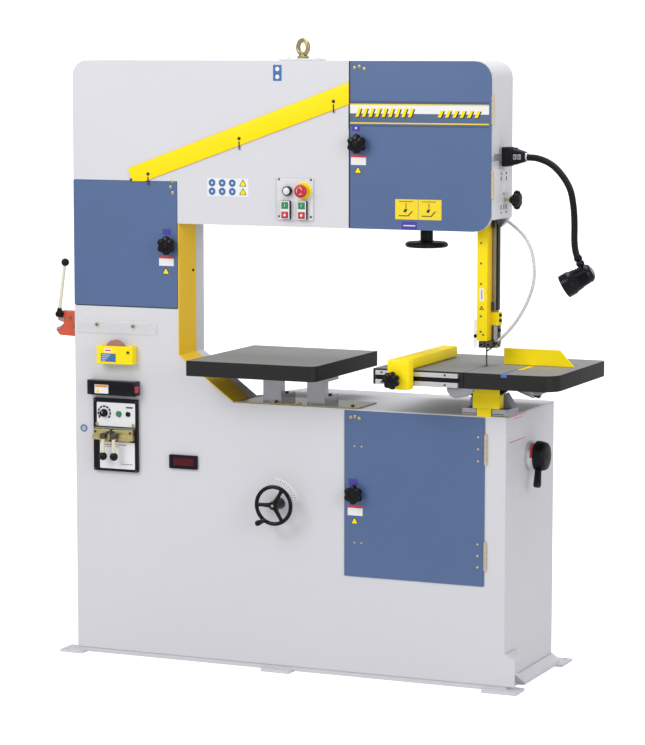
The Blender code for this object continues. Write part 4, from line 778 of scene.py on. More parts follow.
def switch_plate():
    """The plate with its twin push-buttons, the indicator and the emergency stop's collar."""
    low, high = span("switch_plate")
    plate_face = -0.004
    outline = soft_rect(low.x, high.x, low.z, high.z, 0.004)
    stop = span("emergency_stop")
    at = ((stop[0].x + stop[1].x) / 2, plate_face, (stop[0].z + stop[1].z) / 2)
    panel = Piece("switch_panel").plate([outline, disc(at[0], at[2], 0.0115)], "XZ", plate_face, -0.0003,
                                        0.0006)
    panel.done("frame", "panel_grey", "white_paint", replaces=["switch_plate"])
    places = [(x, plate_face, z) for x in (low.x + 0.0085, high.x - 0.008)
              for z in (low.z + 0.012, high.z - 0.0055)]
    screw_group("switch_panel_screws", "frame", ["dark_steel"], places, 0.0034, 0.0014, "slot")
    inner = soft_rect(low.x + 0.0012, high.x - 0.0012, low.z + 0.0012, high.z - 0.0012, 0.003)
    trim = Piece("switch_panel_edge").plate([outline, inner], "XZ", plate_face - 0.0004, plate_face)
    trim.done("frame", "aluminium_trim")
    faces, bodies = Piece("button_housing_faces"), Piece("button_housings")
    for side in ("left", "right"):
        start_low, start_high = span(f"start_button_{side}")
        stop_low, stop_high = span(f"stop_button_{side}")
        x = (start_low.x + start_high.x) / 2
        wells = [rect(b[0].x - 0.0006, b[1].x + 0.0006, b[0].z - 0.0006, b[1].z + 0.0006)
                 for b in ((start_low, start_high), (stop_low, stop_high))]
        outer = soft_rect(x - 0.0155, x + 0.0155, 1.4216, 1.479, 0.0022)
        bodies.plate([outer, *wells], "XZ", -0.0157, plate_face)
        bodies.plate([soft_rect(x - 0.015, x + 0.015, 1.422, 1.4785, 0.002)], "XZ", -0.0075, plate_face)
        faces.plate([soft_rect(x - 0.0149, x + 0.0149, 1.4222, 1.4784, 0.002), *wells], "XZ", -0.0166,
                    -0.0157)
        for kind in ("start", "stop"):
            button = f"{kind}_button_{side}"
            b_low, b_high = span(button)
            cap = Piece(f"{button}_cap")
            cap.block((b_low.x, b_low.y, b_low.z), (b_high.x, b_high.y, b_high.z), 0.002, 3)
            mx, mz = (b_low.x + b_high.x) / 2, (b_low.z + b_high.z) / 2
            colour = "green_plastic" if kind == "start" else "red_plastic"
            cap.done(button, colour, replaces=[button])
            mark = rect(mx - 0.0008, mx + 0.0008, mz - 0.0045, mz + 0.0045)
            if kind == "stop":
                mark = disc(mx, mz, 0.0042, 20)
            prints(button, f"{button}_mark", b_low.y, {"label_white": (0, [mark])})
    bodies.done("frame", "black_plastic")
    faces.done("frame", "white_paint")
    bezel = Piece("indicator_bezel")
    lamp_at = (0.751, plate_face, 1.5085)
    bezel.lathe([(0.0105, 0), (0.015, 0), (0.015, 0.01), (0.014, 0.0125), (0.0118, 0.013), (0.0105, 0.012)],
                lamp_at, OUT, 48, loop=True)
    bezel.done("frame", "gloss_black")
    lens = Piece("indicator_lens").lathe([(0, 0.001), (0.011, 0.001), (0.0112, 0.013), (0.0085, 0.0152),
                                          (0.004, 0.016), (0, 0.0162)], lamp_at, OUT, 48)
    lens.done("frame", "lamp_lens")
    collar = Piece("stop_collar").lathe([(0.013, 0), (0.0262, 0), (0.0262, 0.0028), (0.0245, 0.0042),
                                         (0.013, 0.0042)], at, OUT, 56, loop=True)
    collar.done("frame", "yellow_paint")
    head = [(0, 0.0006), (0.0105, 0.0006), (0.0105, 0.017), (0.018, 0.0192), (0.0203, 0.021),
            (0.0205, 0.0245), (0.0193, 0.0282), (0.0165, 0.0306), (0.011, 0.032), (0.005, 0.0324),
            (0, 0.0324)]
    Piece("emergency_stop_head").lathe(head, at, OUT, 56).done(
        "emergency_stop", "red_plastic", replaces=["emergency_stop"])
    arrows = Piece("emergency_stop_arrows")
    for turn in (20, 140, 260):
        corners = [(0.0105, turn + 8 * i) for i in range(9)]
        corners += [(0.009, turn + 64 - 8 * i) for i in range(9)]
        ring = [(at[0] + r * math.cos(math.radians(a)), at[2] + r * math.sin(math.radians(a)))
                for r, a in corners]
        arrows.plate([ring], "XZ", plate_face - 0.0325, plate_face - 0.0312)
    arrows.done("emergency_stop", "label_white")


def speed_controls():
    """The speed handwheel with its scale, and the display beside it."""
    x, z, y, radius = 0.7226, 0.534, -0.052, 0.058
    wheel = Piece("speed_wheel_casting")
    wheel.ring((x, y, z), IN, radius, 0.0062, 72, 16)
    wheel.lathe([(0, -0.01), (0.0095, -0.01), (0.013, -0.0085), (0.0145, -0.004), (0.015, 0.006),
                 (0.0175, 0.04), (0.018, 0.046), (0, 0.046)], (x, y, z), IN, 40)
    for degrees in (60, 180, 300):
        angle = math.radians(degrees)
        out = Vector((math.cos(angle), 0, math.sin(angle)))
        across = Vector((-math.sin(angle), 0, math.cos(angle)))
        centre = Vector((x, y, z))
        rings = []
        for t, wide, thick in ((0.01, 0.0085, 0.006), (0.022, 0.007, 0.0048), (0.04, 0.006, 0.004),
                               (radius - 0.002, 0.0068, 0.0042)):
            rings.append([centre + t * out + math.cos(a) * wide * across + Vector((0, math.sin(a) * thick, 0))
                          for a in (2 * math.pi * k / 16 for k in range(16))])
        wheel.rings(rings)
    wheel.done("speed_handwheel", "gloss_black", replaces=["speed_handwheel"])
    angle = math.radians(240)
    at = (x + 0.056 * math.cos(angle), y - 0.004, z + 0.056 * math.sin(angle))
    grip = Piece("speed_wheel_grip").lathe(
        [(0, 0), (0.0055, 0), (0.007, 0.004), (0.0062, 0.012), (0.0074, 0.03), (0.0092, 0.048),
         (0.0086, 0.0555), (0.005, 0.058), (0, 0.0582)], at, OUT, 32)
    grip.done("speed_handwheel", "gloss_black")
    hub = Piece("speed_hub_screw").screw((x, y - 0.01, z), OUT, 0.0045, 0.0025)
    hub.done("speed_handwheel", "brass")
    centre = (x - 0.026, z - 0.012)
    scale = arc(centre, 0.092, 14, 86, 30) + arc(centre, 0.074, 86, 14, 30)
    prints("frame", "speed_scale", 0, {"label_white": (0, [scale])})
    ticks = []
    for i in range(13):
        a = math.radians(18 + 5.4 * i)
        out, across = Vector((math.cos(a), math.sin(a))), Vector((-math.sin(a), math.cos(a)))
        middle = Vector(centre)
        ticks.append([tuple(middle + r * out + s * across) for r, s in ((0.077, -0.0006), (0.087, -0.0006),
                                                                        (0.087, 0.0006), (0.077, 0.0006))])
    prints("frame", "speed_ticks", -0.0002, {"label_dark": (0, ticks)})
    left, right, bottom, top = 0.3387, 0.4369, 0.6224, 0.6662
    opening = soft_rect(left + 0.012, right - 0.012, bottom + 0.009, top - 0.009, 0.0015)
    floor = soft_rect(left + 0.006, right - 0.006, bottom + 0.004, top - 0.004, 0.002)
    glass = soft_rect(left + 0.0122, right - 0.0122, bottom + 0.0092, top - 0.0092, 0.0014)
    case = Piece("display_case")
    case.plate([soft_rect(left, right, bottom, top, 0.003), opening], "XZ", -0.0085, -0.0003, 0.0008)
    case.plate([floor], "XZ", -0.004, -0.0003)
    case.done("frame", "gloss_black")
    Piece("display_window").plate([glass], "XZ", -0.0062, -0.0035).done("frame", "display_glass")


def side_dial():
    """The dial and its lever on the right side of the base."""
    x, y, z = BASE_END, 0.215, 0.699
    flange = Piece("dial_flange").lathe(
        [(0.01, 0.0002), (0.045, 0.0002), (0.0462, 0.003), (0.0462, 0.011), (0.044, 0.015), (0.044, 0.0235),
         (0.01, 0.0235)], (x, y, z), RIGHT, 72, loop=True)
    flange.done("side_dial", "aluminium_trim", replaces=["side_dial"])
    ridges = Piece("dial_drum")
    outline = [(0, 0.0236), (0.044, 0.0236), (0.0468, 0.025), (0.047, 0.03), (0.045, 0.044), (0.0428, 0.053),
               (0.04, 0.0572), (0.034, 0.0596), (0.012, 0.0604), (0.011, 0.062), (0, 0.062)]
    ridges.lathe(outline, (x, y, z), RIGHT, 96, lobes=48, depth=0.0004)
    ridges.done("side_dial", "black_plastic")
    band = Piece("dial_red_band")
    for k in range(9):
        a0, a1 = math.radians(118 + 7 * k), math.radians(124.6 + 7 * k)
        ring = [(y + r * math.cos(a), z + r * math.sin(a)) for r, a in ((0.0448, a0), (0.0448, a1),
                                                                        (0.047, a1), (0.047, a0))]
        band.plate([ring], "YZ", x + 0.017, x + 0.0232)
    band.done("side_dial", "red_plastic")
    ticks = Piece("dial_ticks")
    for k in range(36):
        a = math.radians(10 * k)
        out = Vector((0, math.cos(a), math.sin(a)))
        across = Vector((0, -math.sin(a), math.cos(a)))
        base = Vector((x, y, z)) + 0.0463 * out
        long = 0.007 if k % 3 == 0 else 0.004
        ring = [base + s * 0.0003 * across + Vector((t, 0, 0))
                for s, t in ((-1, 0.0035), (1, 0.0035), (1, 0.0035 + long), (-1, 0.0035 + long))]
        ticks.rings([ring, [p - 0.0006 * out for p in ring]])
    ticks.done("side_dial", "label_dark")
    lever = Piece("dial_lever")
    root, end = Vector((x + 0.036, y - 0.018, z - 0.031)), Vector((x + 0.044, y - 0.052, z - 0.088))
    along = (end - root).normalized()
    lever.rod(root - 0.01 * along, root + 0.012 * along, 0.0052, sides=24)
    lever.lathe([(0, 0.01), (0.0098, 0.01), (0.0104, 0.014), (0.0112, 0.034), (0.0122, 0.06),
                 (0.0112, 0.0655), (0.007, 0.0672), (0, 0.0674)], root, along, 32)
    lever.done("side_dial", "gloss_black")


# Blade welder, grinder and shear


def welder():
    """The blade welder on the column."""
    low, high = span("welder_panel")
    face, left, right, bottom, top = -0.014, low.x, high.x, low.z, high.z
    button_x, button_z = 0.1642, 0.7867
    well = disc(button_x, button_z, 0.0091)
    case = Piece("welder_case").plate([rect(left, right, bottom, top), well], "XZ", face, -0.0003, 0.003, 3)
    case.done("frame", "black_plastic", replaces=["welder_panel"])
    plates = Piece("welder_plates")
    plates.plate([soft_rect(0.085, 0.222, 0.746, 0.822, 0.002), well], "XZ", face - 0.0008, face + 0.001)
    plates.plate([soft_rect(0.095, 0.22, 0.61, 0.696, 0.002)], "XZ", face - 0.0008, face + 0.001)
    plates.done("frame", "white_paint")
    knob_x, knob_z = 0.1117, 0.7878
    ink = face - 0.0008
    marks = [arc((knob_x, knob_z), 0.0245, a, a + 24, 4) + arc((knob_x, knob_z), 0.0185, a + 24, a, 4)
             for a in range(-45, 225, 31)]
    marks += [rect(0.19, 0.214, 0.806, 0.811), rect(0.105, 0.19, 0.686, 0.688),
              rect(0.105, 0.165, 0.68, 0.6815), rect(0.172, 0.212, 0.625, 0.6265)]
    prints("frame", "welder_marks", ink, {"label_dark": (0, marks)})
    places = [(left + 0.007, face, top - 0.0065), (right - 0.0035, face, top - 0.0065),
              (left + 0.007, face, bottom + 0.006), (right - 0.0045, face, bottom + 0.005)]
    screw_group("welder_case_screws", "frame", ["dark_steel"], places, 0.003, 0.0018, "slot")
    screw_group("welder_ledge_screws", "frame", ["brass"], [(x, ink, 0.752) for x in (0.086, 0.216)],
                0.0055, 0.003, "slot")
    knob = Piece("weld_knob_grip").lathe(
        [(0, 0.0002), (0.0128, 0.0002), (0.013, 0.003), (0.0115, 0.0045), (0.01, 0.015), (0.0088, 0.016),
         (0, 0.016)], (knob_x, face - 0.0008, knob_z), OUT, 48, lobes=16, depth=0.0003)
    knob.done("weld_current_knob", "black_plastic", replaces=["weld_current_knob"])
    line = rect(knob_x - 0.0007, knob_x + 0.0007, knob_z, knob_z + 0.008)
    prints("weld_current_knob", "weld_knob_line", face - 0.0168, {"label_white": (0, [line])})
    button = Piece("weld_button_cap").lathe(
        [(0, 0.0002), (0.0082, 0.0002), (0.0084, 0.0066), (0.0072, 0.008), (0.003, 0.0085), (0, 0.0086)],
        (button_x, face, button_z), OUT, 40)
    button.done("weld_button", "green_plastic", replaces=["weld_button"])
    bezels = Piece("weld_button_bezels")
    bezels.ring((button_x, face - 0.0012, button_z), IN, 0.01, 0.0013, 40, 10)
    bezels.ring((0.1979, face - 0.0012, 0.7875), IN, 0.0085, 0.0013, 40, 10)
    bezels.done("frame", "chrome")
    second = Piece("weld_anneal_button").lathe(
        [(0, 0.0002), (0.007, 0.0002), (0.0072, 0.0066), (0.006, 0.008), (0, 0.0082)],
        (0.1979, face, 0.7875), OUT, 40)
    second.done("frame", "gloss_black")
    jaws = Piece("welder_jaw_blocks")
    for x0, x1 in ((0.077, 0.14), (0.1455, 0.2205)):
        jaws.block((x0, -0.0335, 0.7035), (x1, face + 0.001, 0.72), 0.0012)
        jaws.block((x0 + 0.003, -0.03, 0.719), (x1 - 0.002, face + 0.001, 0.7378), 0.0012)
        jaws.block((x0 + 0.001, -0.0345, 0.714), (x1 - 0.004, -0.028, 0.7172), 0.0006)
    jaws.block((0.095, -0.021, 0.698), (0.132, face + 0.001, 0.705), 0.0008)
    jaws.block((0.162, -0.021, 0.698), (0.205, face + 0.001, 0.705), 0.0008)
    jaws.done("frame", "brass")
    bolts = Piece("welder_jaw_bolts")
    for x in (0.086, 0.133, 0.153, 0.212):
        bolts.screw((x, -0.03, 0.729), OUT, 0.004, 0.0035)
    bolts.block((0.1405, -0.029, 0.704), (0.145, face + 0.001, 0.737), 0.0005)
    bolts.done("frame", "dark_steel")
    ledge = Piece("welder_ledge").block((0.083, -0.03, 0.74), (0.222, face, 0.7432), 0.0006)
    ledge.done("frame", "clear_plastic")
    for name in ("clamp_lever_left", "clamp_lever_right"):
        low, high = span(name)
        x, y, pivot = (low.x + high.x) / 2, -0.046, 0.718
        hub = Piece(f"{name}_hub").lathe(
            [(0, 0), (0.0098, 0), (0.01, 0.002), (0.01, 0.016), (0.0085, 0.0188), (0, 0.019)],
            (x, -0.035, pivot), OUT, 36)
        hub.done(name, "dark_steel", replaces=[name])
        Piece(f"{name}_rod").rod((x, y, pivot - 0.004), (x, y, 0.662), 0.0058, 0.0052, 24).done(
            name, "ivory_plastic")
        Piece(f"{name}_ball").ball((x, y, 0.653), 0.0134).done(name, "gloss_black")
    hole = Piece("cable_ring").ring((0.03, -0.0012, 0.733), IN, 0.01, 0.0018, 48, 12)
    hole.done("frame", "label_blue")
    plug = Piece("cable_ring_plug").lathe([(0, 0.0001), (0.009, 0.0001), (0.009, 0.0008), (0, 0.001)],
                                          (0.03, 0, 0.733), OUT, 40)
    plug.done("frame", "chrome")


def welder_lamp():
    """The lamp box over the welder."""
    low, high = span("welder_light")
    outline = [(low.x, high.y), (low.x, low.y + 0.01), (low.x + 0.022, low.y), (high.x - 0.006, low.y),
               (high.x, low.y + 0.006), (high.x, high.y)]
    box = Piece("lamp_box_case").plate([outline], "XY", low.z, high.z, 0.003, 3)
    box.done("frame", "gloss_black", replaces=["welder_light"])
    prints("frame", "lamp_box_label", low.y, {
        "label_white": (0, [soft_rect(low.x + 0.033, low.x + 0.082, low.z + 0.006, low.z + 0.034, 0.001)]),
        "label_orange": (1, [rect(low.x + 0.0345, low.x + 0.0805, low.z + 0.0255, low.z + 0.033)]),
        "label_yellow": (1, [triangle(low.x + 0.044, low.z + 0.0135, 0.014)]),
    })
    rocker = Piece("lamp_box_switch")
    rocker.block((high.x - 0.006, low.y + 0.004, low.z + 0.012),
                 (high.x + 0.004, low.y + 0.02, high.z - 0.015), 0.0015, 3)
    rocker.done("frame", "red_plastic")


def grinder():
    """The welder's grinding wheel and its guard."""
    low, high = span("grinder_guard")
    outline = [(low.x, high.y), (low.x, low.y), (high.x - 0.024, low.y), (high.x, low.y + 0.007),
               (high.x, high.y)]
    guard = Piece("grinder_guard_cover").plate([outline], "XY", low.z, low.z + 0.0085, 0.002, 3)
    guard.plate([outline, rect(0.112, 0.201, -0.031, -0.008)], "XY", low.z + 0.006, high.z, 0.002, 3)
    guard.done("frame", "yellow_paint", replaces=["grinder_guard"])
    prints("frame", "grinder_label", low.y, {
        "label_white": (0, [soft_rect(low.x + 0.027, low.x + 0.056, 0.9855, 0.9975, 0.003)]),
        "label_red": (1, [rect(low.x + 0.031, low.x + 0.052, 0.9895, 0.9935)]),
        "label_blue": (0, [rect(low.x + 0.0155, low.x + 0.069, 0.9553, 0.982)]),
    })
    prints("frame", "grinder_label_lines", low.y - 0.0003, {
        "label_white": (1, [rect(low.x + 0.019, low.x + 0.05 - 0.006 * i, z, z + 0.0016)
                            for i, z in enumerate((0.976, 0.97, 0.964, 0.959))])})
    place = (high.x - 0.014, low.y + 0.0028, 0.987)
    screw_group("grinder_guard_bolts", "frame", ["dark_steel"], [place], 0.0045, 0.0035)
    w_low, w_high = span("grinding_wheel")
    x, z, radius = (w_low.x + w_high.x) / 2, (w_low.z + w_high.z) / 2, (w_high.x - w_low.x) / 2
    wheel = Piece("grinding_disc").lathe(
        [(0.006, 0), (radius - 0.001, 0), (radius, 0.001), (radius, 0.015), (radius - 0.001, 0.016),
         (0.006, 0.016)],
        (x, w_low.y, z), IN, 72, loop=True)
    wheel.done("grinding_wheel", "grinding_stone", replaces=["grinding_wheel"])
    nut = Piece("grinder_nut").lathe([(0, -0.002), (0.013, -0.002), (0.013, 0.0175), (0, 0.0175)],
                                     (x, w_low.y, z), IN, 36)
    nut.done("grinding_wheel", "dark_steel")
    plate = Piece("clear_shield").plate([soft_rect(0.005, 0.295, 1.044, 1.083, 0.003)], "XZ", -0.0075,
                                        -0.0055, 0.0004)
    plate.done("frame", "clear_plastic")
    stands = Piece("clear_shield_screws")
    for x, z in ((0.084, 1.0696), (0.2127, 1.0683)):
        stands.rod((x, -0.0003, z), (x, -0.0055, z), 0.0045, sides=24)
        stands.screw((x, -0.0075, z), OUT, 0.0052, 0.0034)
    stands.done("frame", "zinc_yellow", "brass")


def shear():
    """The blade shear on the left side of the column."""
    refine("shear_body", "red_paint", 0.003, 3)
    face = span("shear_body")[0].y
    screw_group("shear_bolts", "frame", ["zinc_yellow", "brass"],
                [(-0.024, face, 1.0839), (-0.012, face, 1.0599)], 0.0055, 0.004)
    jaw = Piece("shear_jaw_plates")
    jaw.plate([[(-0.063, 1.079), (-0.044, 1.072), (-0.044, 1.083), (-0.062, 1.088)]], "XZ", 0.0095, 0.012,
              0.0004)
    jaw.plate([[(-0.07, 1.053), (-0.054, 1.06), (-0.054, 1.05), (-0.068, 1.045)]], "XZ", 0.0095, 0.012,
              0.0004)
    jaw.done("frame", "machined_steel")
    x, y, z = -0.058, 0.002, 1.097
    hub = Piece("shear_lever_hub").lathe(
        [(0, -0.007), (0.008, -0.007), (0.0105, -0.006), (0.011, -0.004), (0.0125, 0.009), (0, 0.009)],
        (x, y, z), IN, 40)
    hub.lathe([(0, 0.0), (0.008, 0.0), (0.0075, 0.02), (0, 0.02)], (x, y, z),
              Vector((-0.035, y, 1.256)) - Vector((x, y, z)), 24)
    hub.done("shear_lever", "gloss_black", replaces=["shear_lever"])
    rod = Piece("shear_lever_rod").rod((x, y, z), (-0.0345, y, 1.26), 0.0056, 0.0048, 24)
    rod.done("shear_lever", "ivory_plastic")
    Piece("shear_lever_ball").ball((-0.0335, y, 1.264), 0.0128).done("shear_lever", "gloss_black")


# Tables


def tables():
    """The two tables, with the insert, the groove and what carries them."""
    refine("left_table", "table_iron", 0.0006)
    refine("right_table", "table_iron", 0.0006)
    refine("left_table_stand", "stand_steel", 0.0008)
    refine("trunnion_base", "cast_paint", 0.001)
    trim = Piece("stand_plate_edge")
    low = BASE_TOP + 0.0008
    trim.plate([rect(0.566, 0.985, 0.0002, 0.0008)], "XY", low, low + 0.0036)
    trim.done("frame", "zinc_yellow", "brass")
    bolts = Piece("stand_bolts")
    for x0, x1 in ((0.65, 0.712), (0.8, 0.86)):
        for x in (x0 + 0.012, x1 - 0.012):
            bolts.screw((x, 0.1, low + 0.026), UP, 0.006, 0.0045, "hex")
    bolts.screw((0.95, 0.04, low + 0.004), UP, 0.0055, 0.0035, "hex")
    bolts.done("frame", "dark_steel")
    screw_group("stand_plate_bolts", "frame", ["brass"], [(x, 0.016, low + 0.004) for x in (0.69, 0.78)],
                0.0065, 0.005, "hex", UP)
    insert = Piece("table_insert")
    slot = [(BLADE_X - 0.0025, BLADE_Y - 0.033), (BLADE_X + 0.0025, BLADE_Y - 0.033),
            (BLADE_X + 0.0025, BLADE_Y + 0.0135), (BLADE_X - 0.0025, BLADE_Y + 0.0135)]
    outer = arc((BLADE_X, BLADE_Y), 0.0314, -86, 266, 60)
    insert.plate([outer + [slot[0], slot[3], slot[2], slot[1]]], "XY", TABLE_TOP - 0.005, TABLE_TOP - 0.0001,
                 0.0003)
    insert.done("right_table", "table_iron")
    rails = Piece("fence_rail")
    left, right = 1.0906, 1.355
    for bottom, top in ((0.968, 0.981), (0.9395, 0.954)):
        rails.block((left, TABLE_FRONT - 0.012, bottom), (right, TABLE_FRONT - 0.0004, top), 0.0008)
    rails.done("right_table", "aluminium_trim")
    core = Piece("fence_rail_slot").block((left + 0.001, TABLE_FRONT - 0.006, 0.953),
                                          (right - 0.001, TABLE_FRONT - 0.0004, 0.969), 0.0004)
    core.done("right_table", "black_plastic")
    places = [(x, TABLE_FRONT - 0.012, z) for x in (left + 0.02, right - 0.0403) for z in (0.9757, 0.9466)]
    screw_group("fence_rail_screws", "right_table", ["dark_steel"], places, 0.0034, 0.0014, "slot")
    rib = Piece("table_front_rib")
    profile = [(1.3155, TABLE_UNDER + 0.001), (1.3155, 0.927), (1.325, 0.913), (1.342, 0.9058),
               (1.358, 0.908), (1.38, 0.914), (1.395, 0.925), (1.4, TABLE_UNDER + 0.001)]
    rib.plate([profile], "XZ", TABLE_FRONT + 0.003, TABLE_FRONT + 0.023, 0.002)
    for x in (TABLE_LOW.x + 0.06, TABLE_HIGH.x - 0.09):
        rib.block((x, TABLE_FRONT + 0.06, 0.92), (x + 0.016, TABLE_HIGH.y - 0.06, TABLE_UNDER + 0.001), 0.002)
    rib.block((TABLE_LOW.x + 0.06, 0.2, 0.92), (1.28, 0.216, TABLE_UNDER + 0.001), 0.002)
    rib.done("right_table", "cast_iron")


def fence_and_mitre():
    """The rip fence and the mitre gauge."""
    refine("rip_fence", "yellow_paint", 0.001)
    knob_low, knob_high = span("rip_fence_knob")
    at = ((knob_low.x + knob_high.x) / 2, knob_high.y, (knob_low.z + knob_high.z) / 2)
    outline = [(0, 0), (0.0125, 0), (0.013, 0.003), (0.0105, 0.0085), (0.022, 0.01), (0.0256, 0.013),
               (0.0262, 0.02), (0.0245, 0.0262), (0.02, 0.029), (0.009, 0.0296), (0.008, 0.0285), (0, 0.0285)]
    Piece("rip_fence_grip").lathe(outline, at, OUT, 84, lobes=7, depth=0.003).done(
        "rip_fence_knob", "gloss_black", replaces=["rip_fence_knob"])
    refine("mitre_bar", "mitre_bar", 0.0005)
    refine("mitre_fence", "yellow_paint", 0.0008)
    knob = Piece("mitre_lock_knob").lathe(
        [(0, 0.0122), (0.007, 0.0122), (0.007, 0.02), (0.0135, 0.0215), (0.015, 0.024), (0.015, 0.032),
         (0.013, 0.0345), (0, 0.035)],
        (1.498, 0.186, TABLE_TOP + 0.0006), UP, 60, lobes=8, depth=0.0012)
    knob.done("mitre_fence", "gloss_black")


def trunnion_cover():
    """The yellow cover below the table: a fixed box, and a skirt that tilts with the table in front of it."""
    left, right = 1.362, 1.448
    skirt = Piece("trunnion_skirt").plate([rect(left, right, 0.906, TABLE_UNDER + 0.0005)], "XZ", -0.0045,
                                          -0.0025, 0.0005)
    skirt.done("right_table", "yellow_paint")
    box = Piece("trunnion_cover")
    box.plate([[(left - 0.001, -0.0019), (right - 0.003, -0.0019), (right - 0.003, 0.04),
                (left + 0.004, 0.04)]], "XY", 0.8665, 0.908, 0.0008)
    box.plate([rect(1.3745, 1.419, BASE_TOP - 0.001, 0.868)], "XZ", -0.0019, 0.003, 0.0004)
    box.done("frame", "yellow_paint")
    shim = Piece("trunnion_shim").block((1.318, 0.0006, BASE_TOP + 0.0003),
                                        (1.476, 0.0056, BASE_TOP + 0.0024), 0.0003)
    shim.done("frame", "zinc_yellow", "brass")
    low, high = span("trunnion_base")
    slides = Piece("trunnion_slides")
    for x0, x1 in ((low.x - 0.001, 1.3715), (1.4208, high.x + 0.0008)):
        slides.block((x0, 0.003, low.z + 0.0026), (x1, 0.024, low.z + 0.022), 0.0012)
    slides.done("frame", "machined_steel")
    # Thin dark strips on the slides' fronts: painted shade standing in for a groove along each slide.
    slots = Piece("trunnion_slide_gap_shade")
    for x0, x1 in ((low.x + 0.002, 1.37), (1.422, high.x - 0.006)):
        slots.block((x0, 0.0024, low.z + 0.006), (x1, 0.006, low.z + 0.0085), 0.0003)
    slots.done("frame", "dark_steel")
    shaft = Piece("table_lock_shaft")
    shaft.rod((1.46, 0.14, 0.919), (1.512, 0.14, 0.902), 0.015, 0.017, 40)
    shaft.rod((1.45, 0.14, 0.922), (1.462, 0.14, 0.918), 0.012, 0.012, 32)
    shaft.block((1.445, 0.128, 0.909), (1.465, 0.152, TABLE_UNDER + 0.0005), 0.003)
    shaft.done("right_table", "aluminium_trim")
    end = Piece("table_lock_nut")
    end.rod((1.512, 0.14, 0.902), (1.528, 0.14, 0.897), 0.012, 0.0105, 36)
    end.done("right_table", "gloss_black")


# Guide post and head


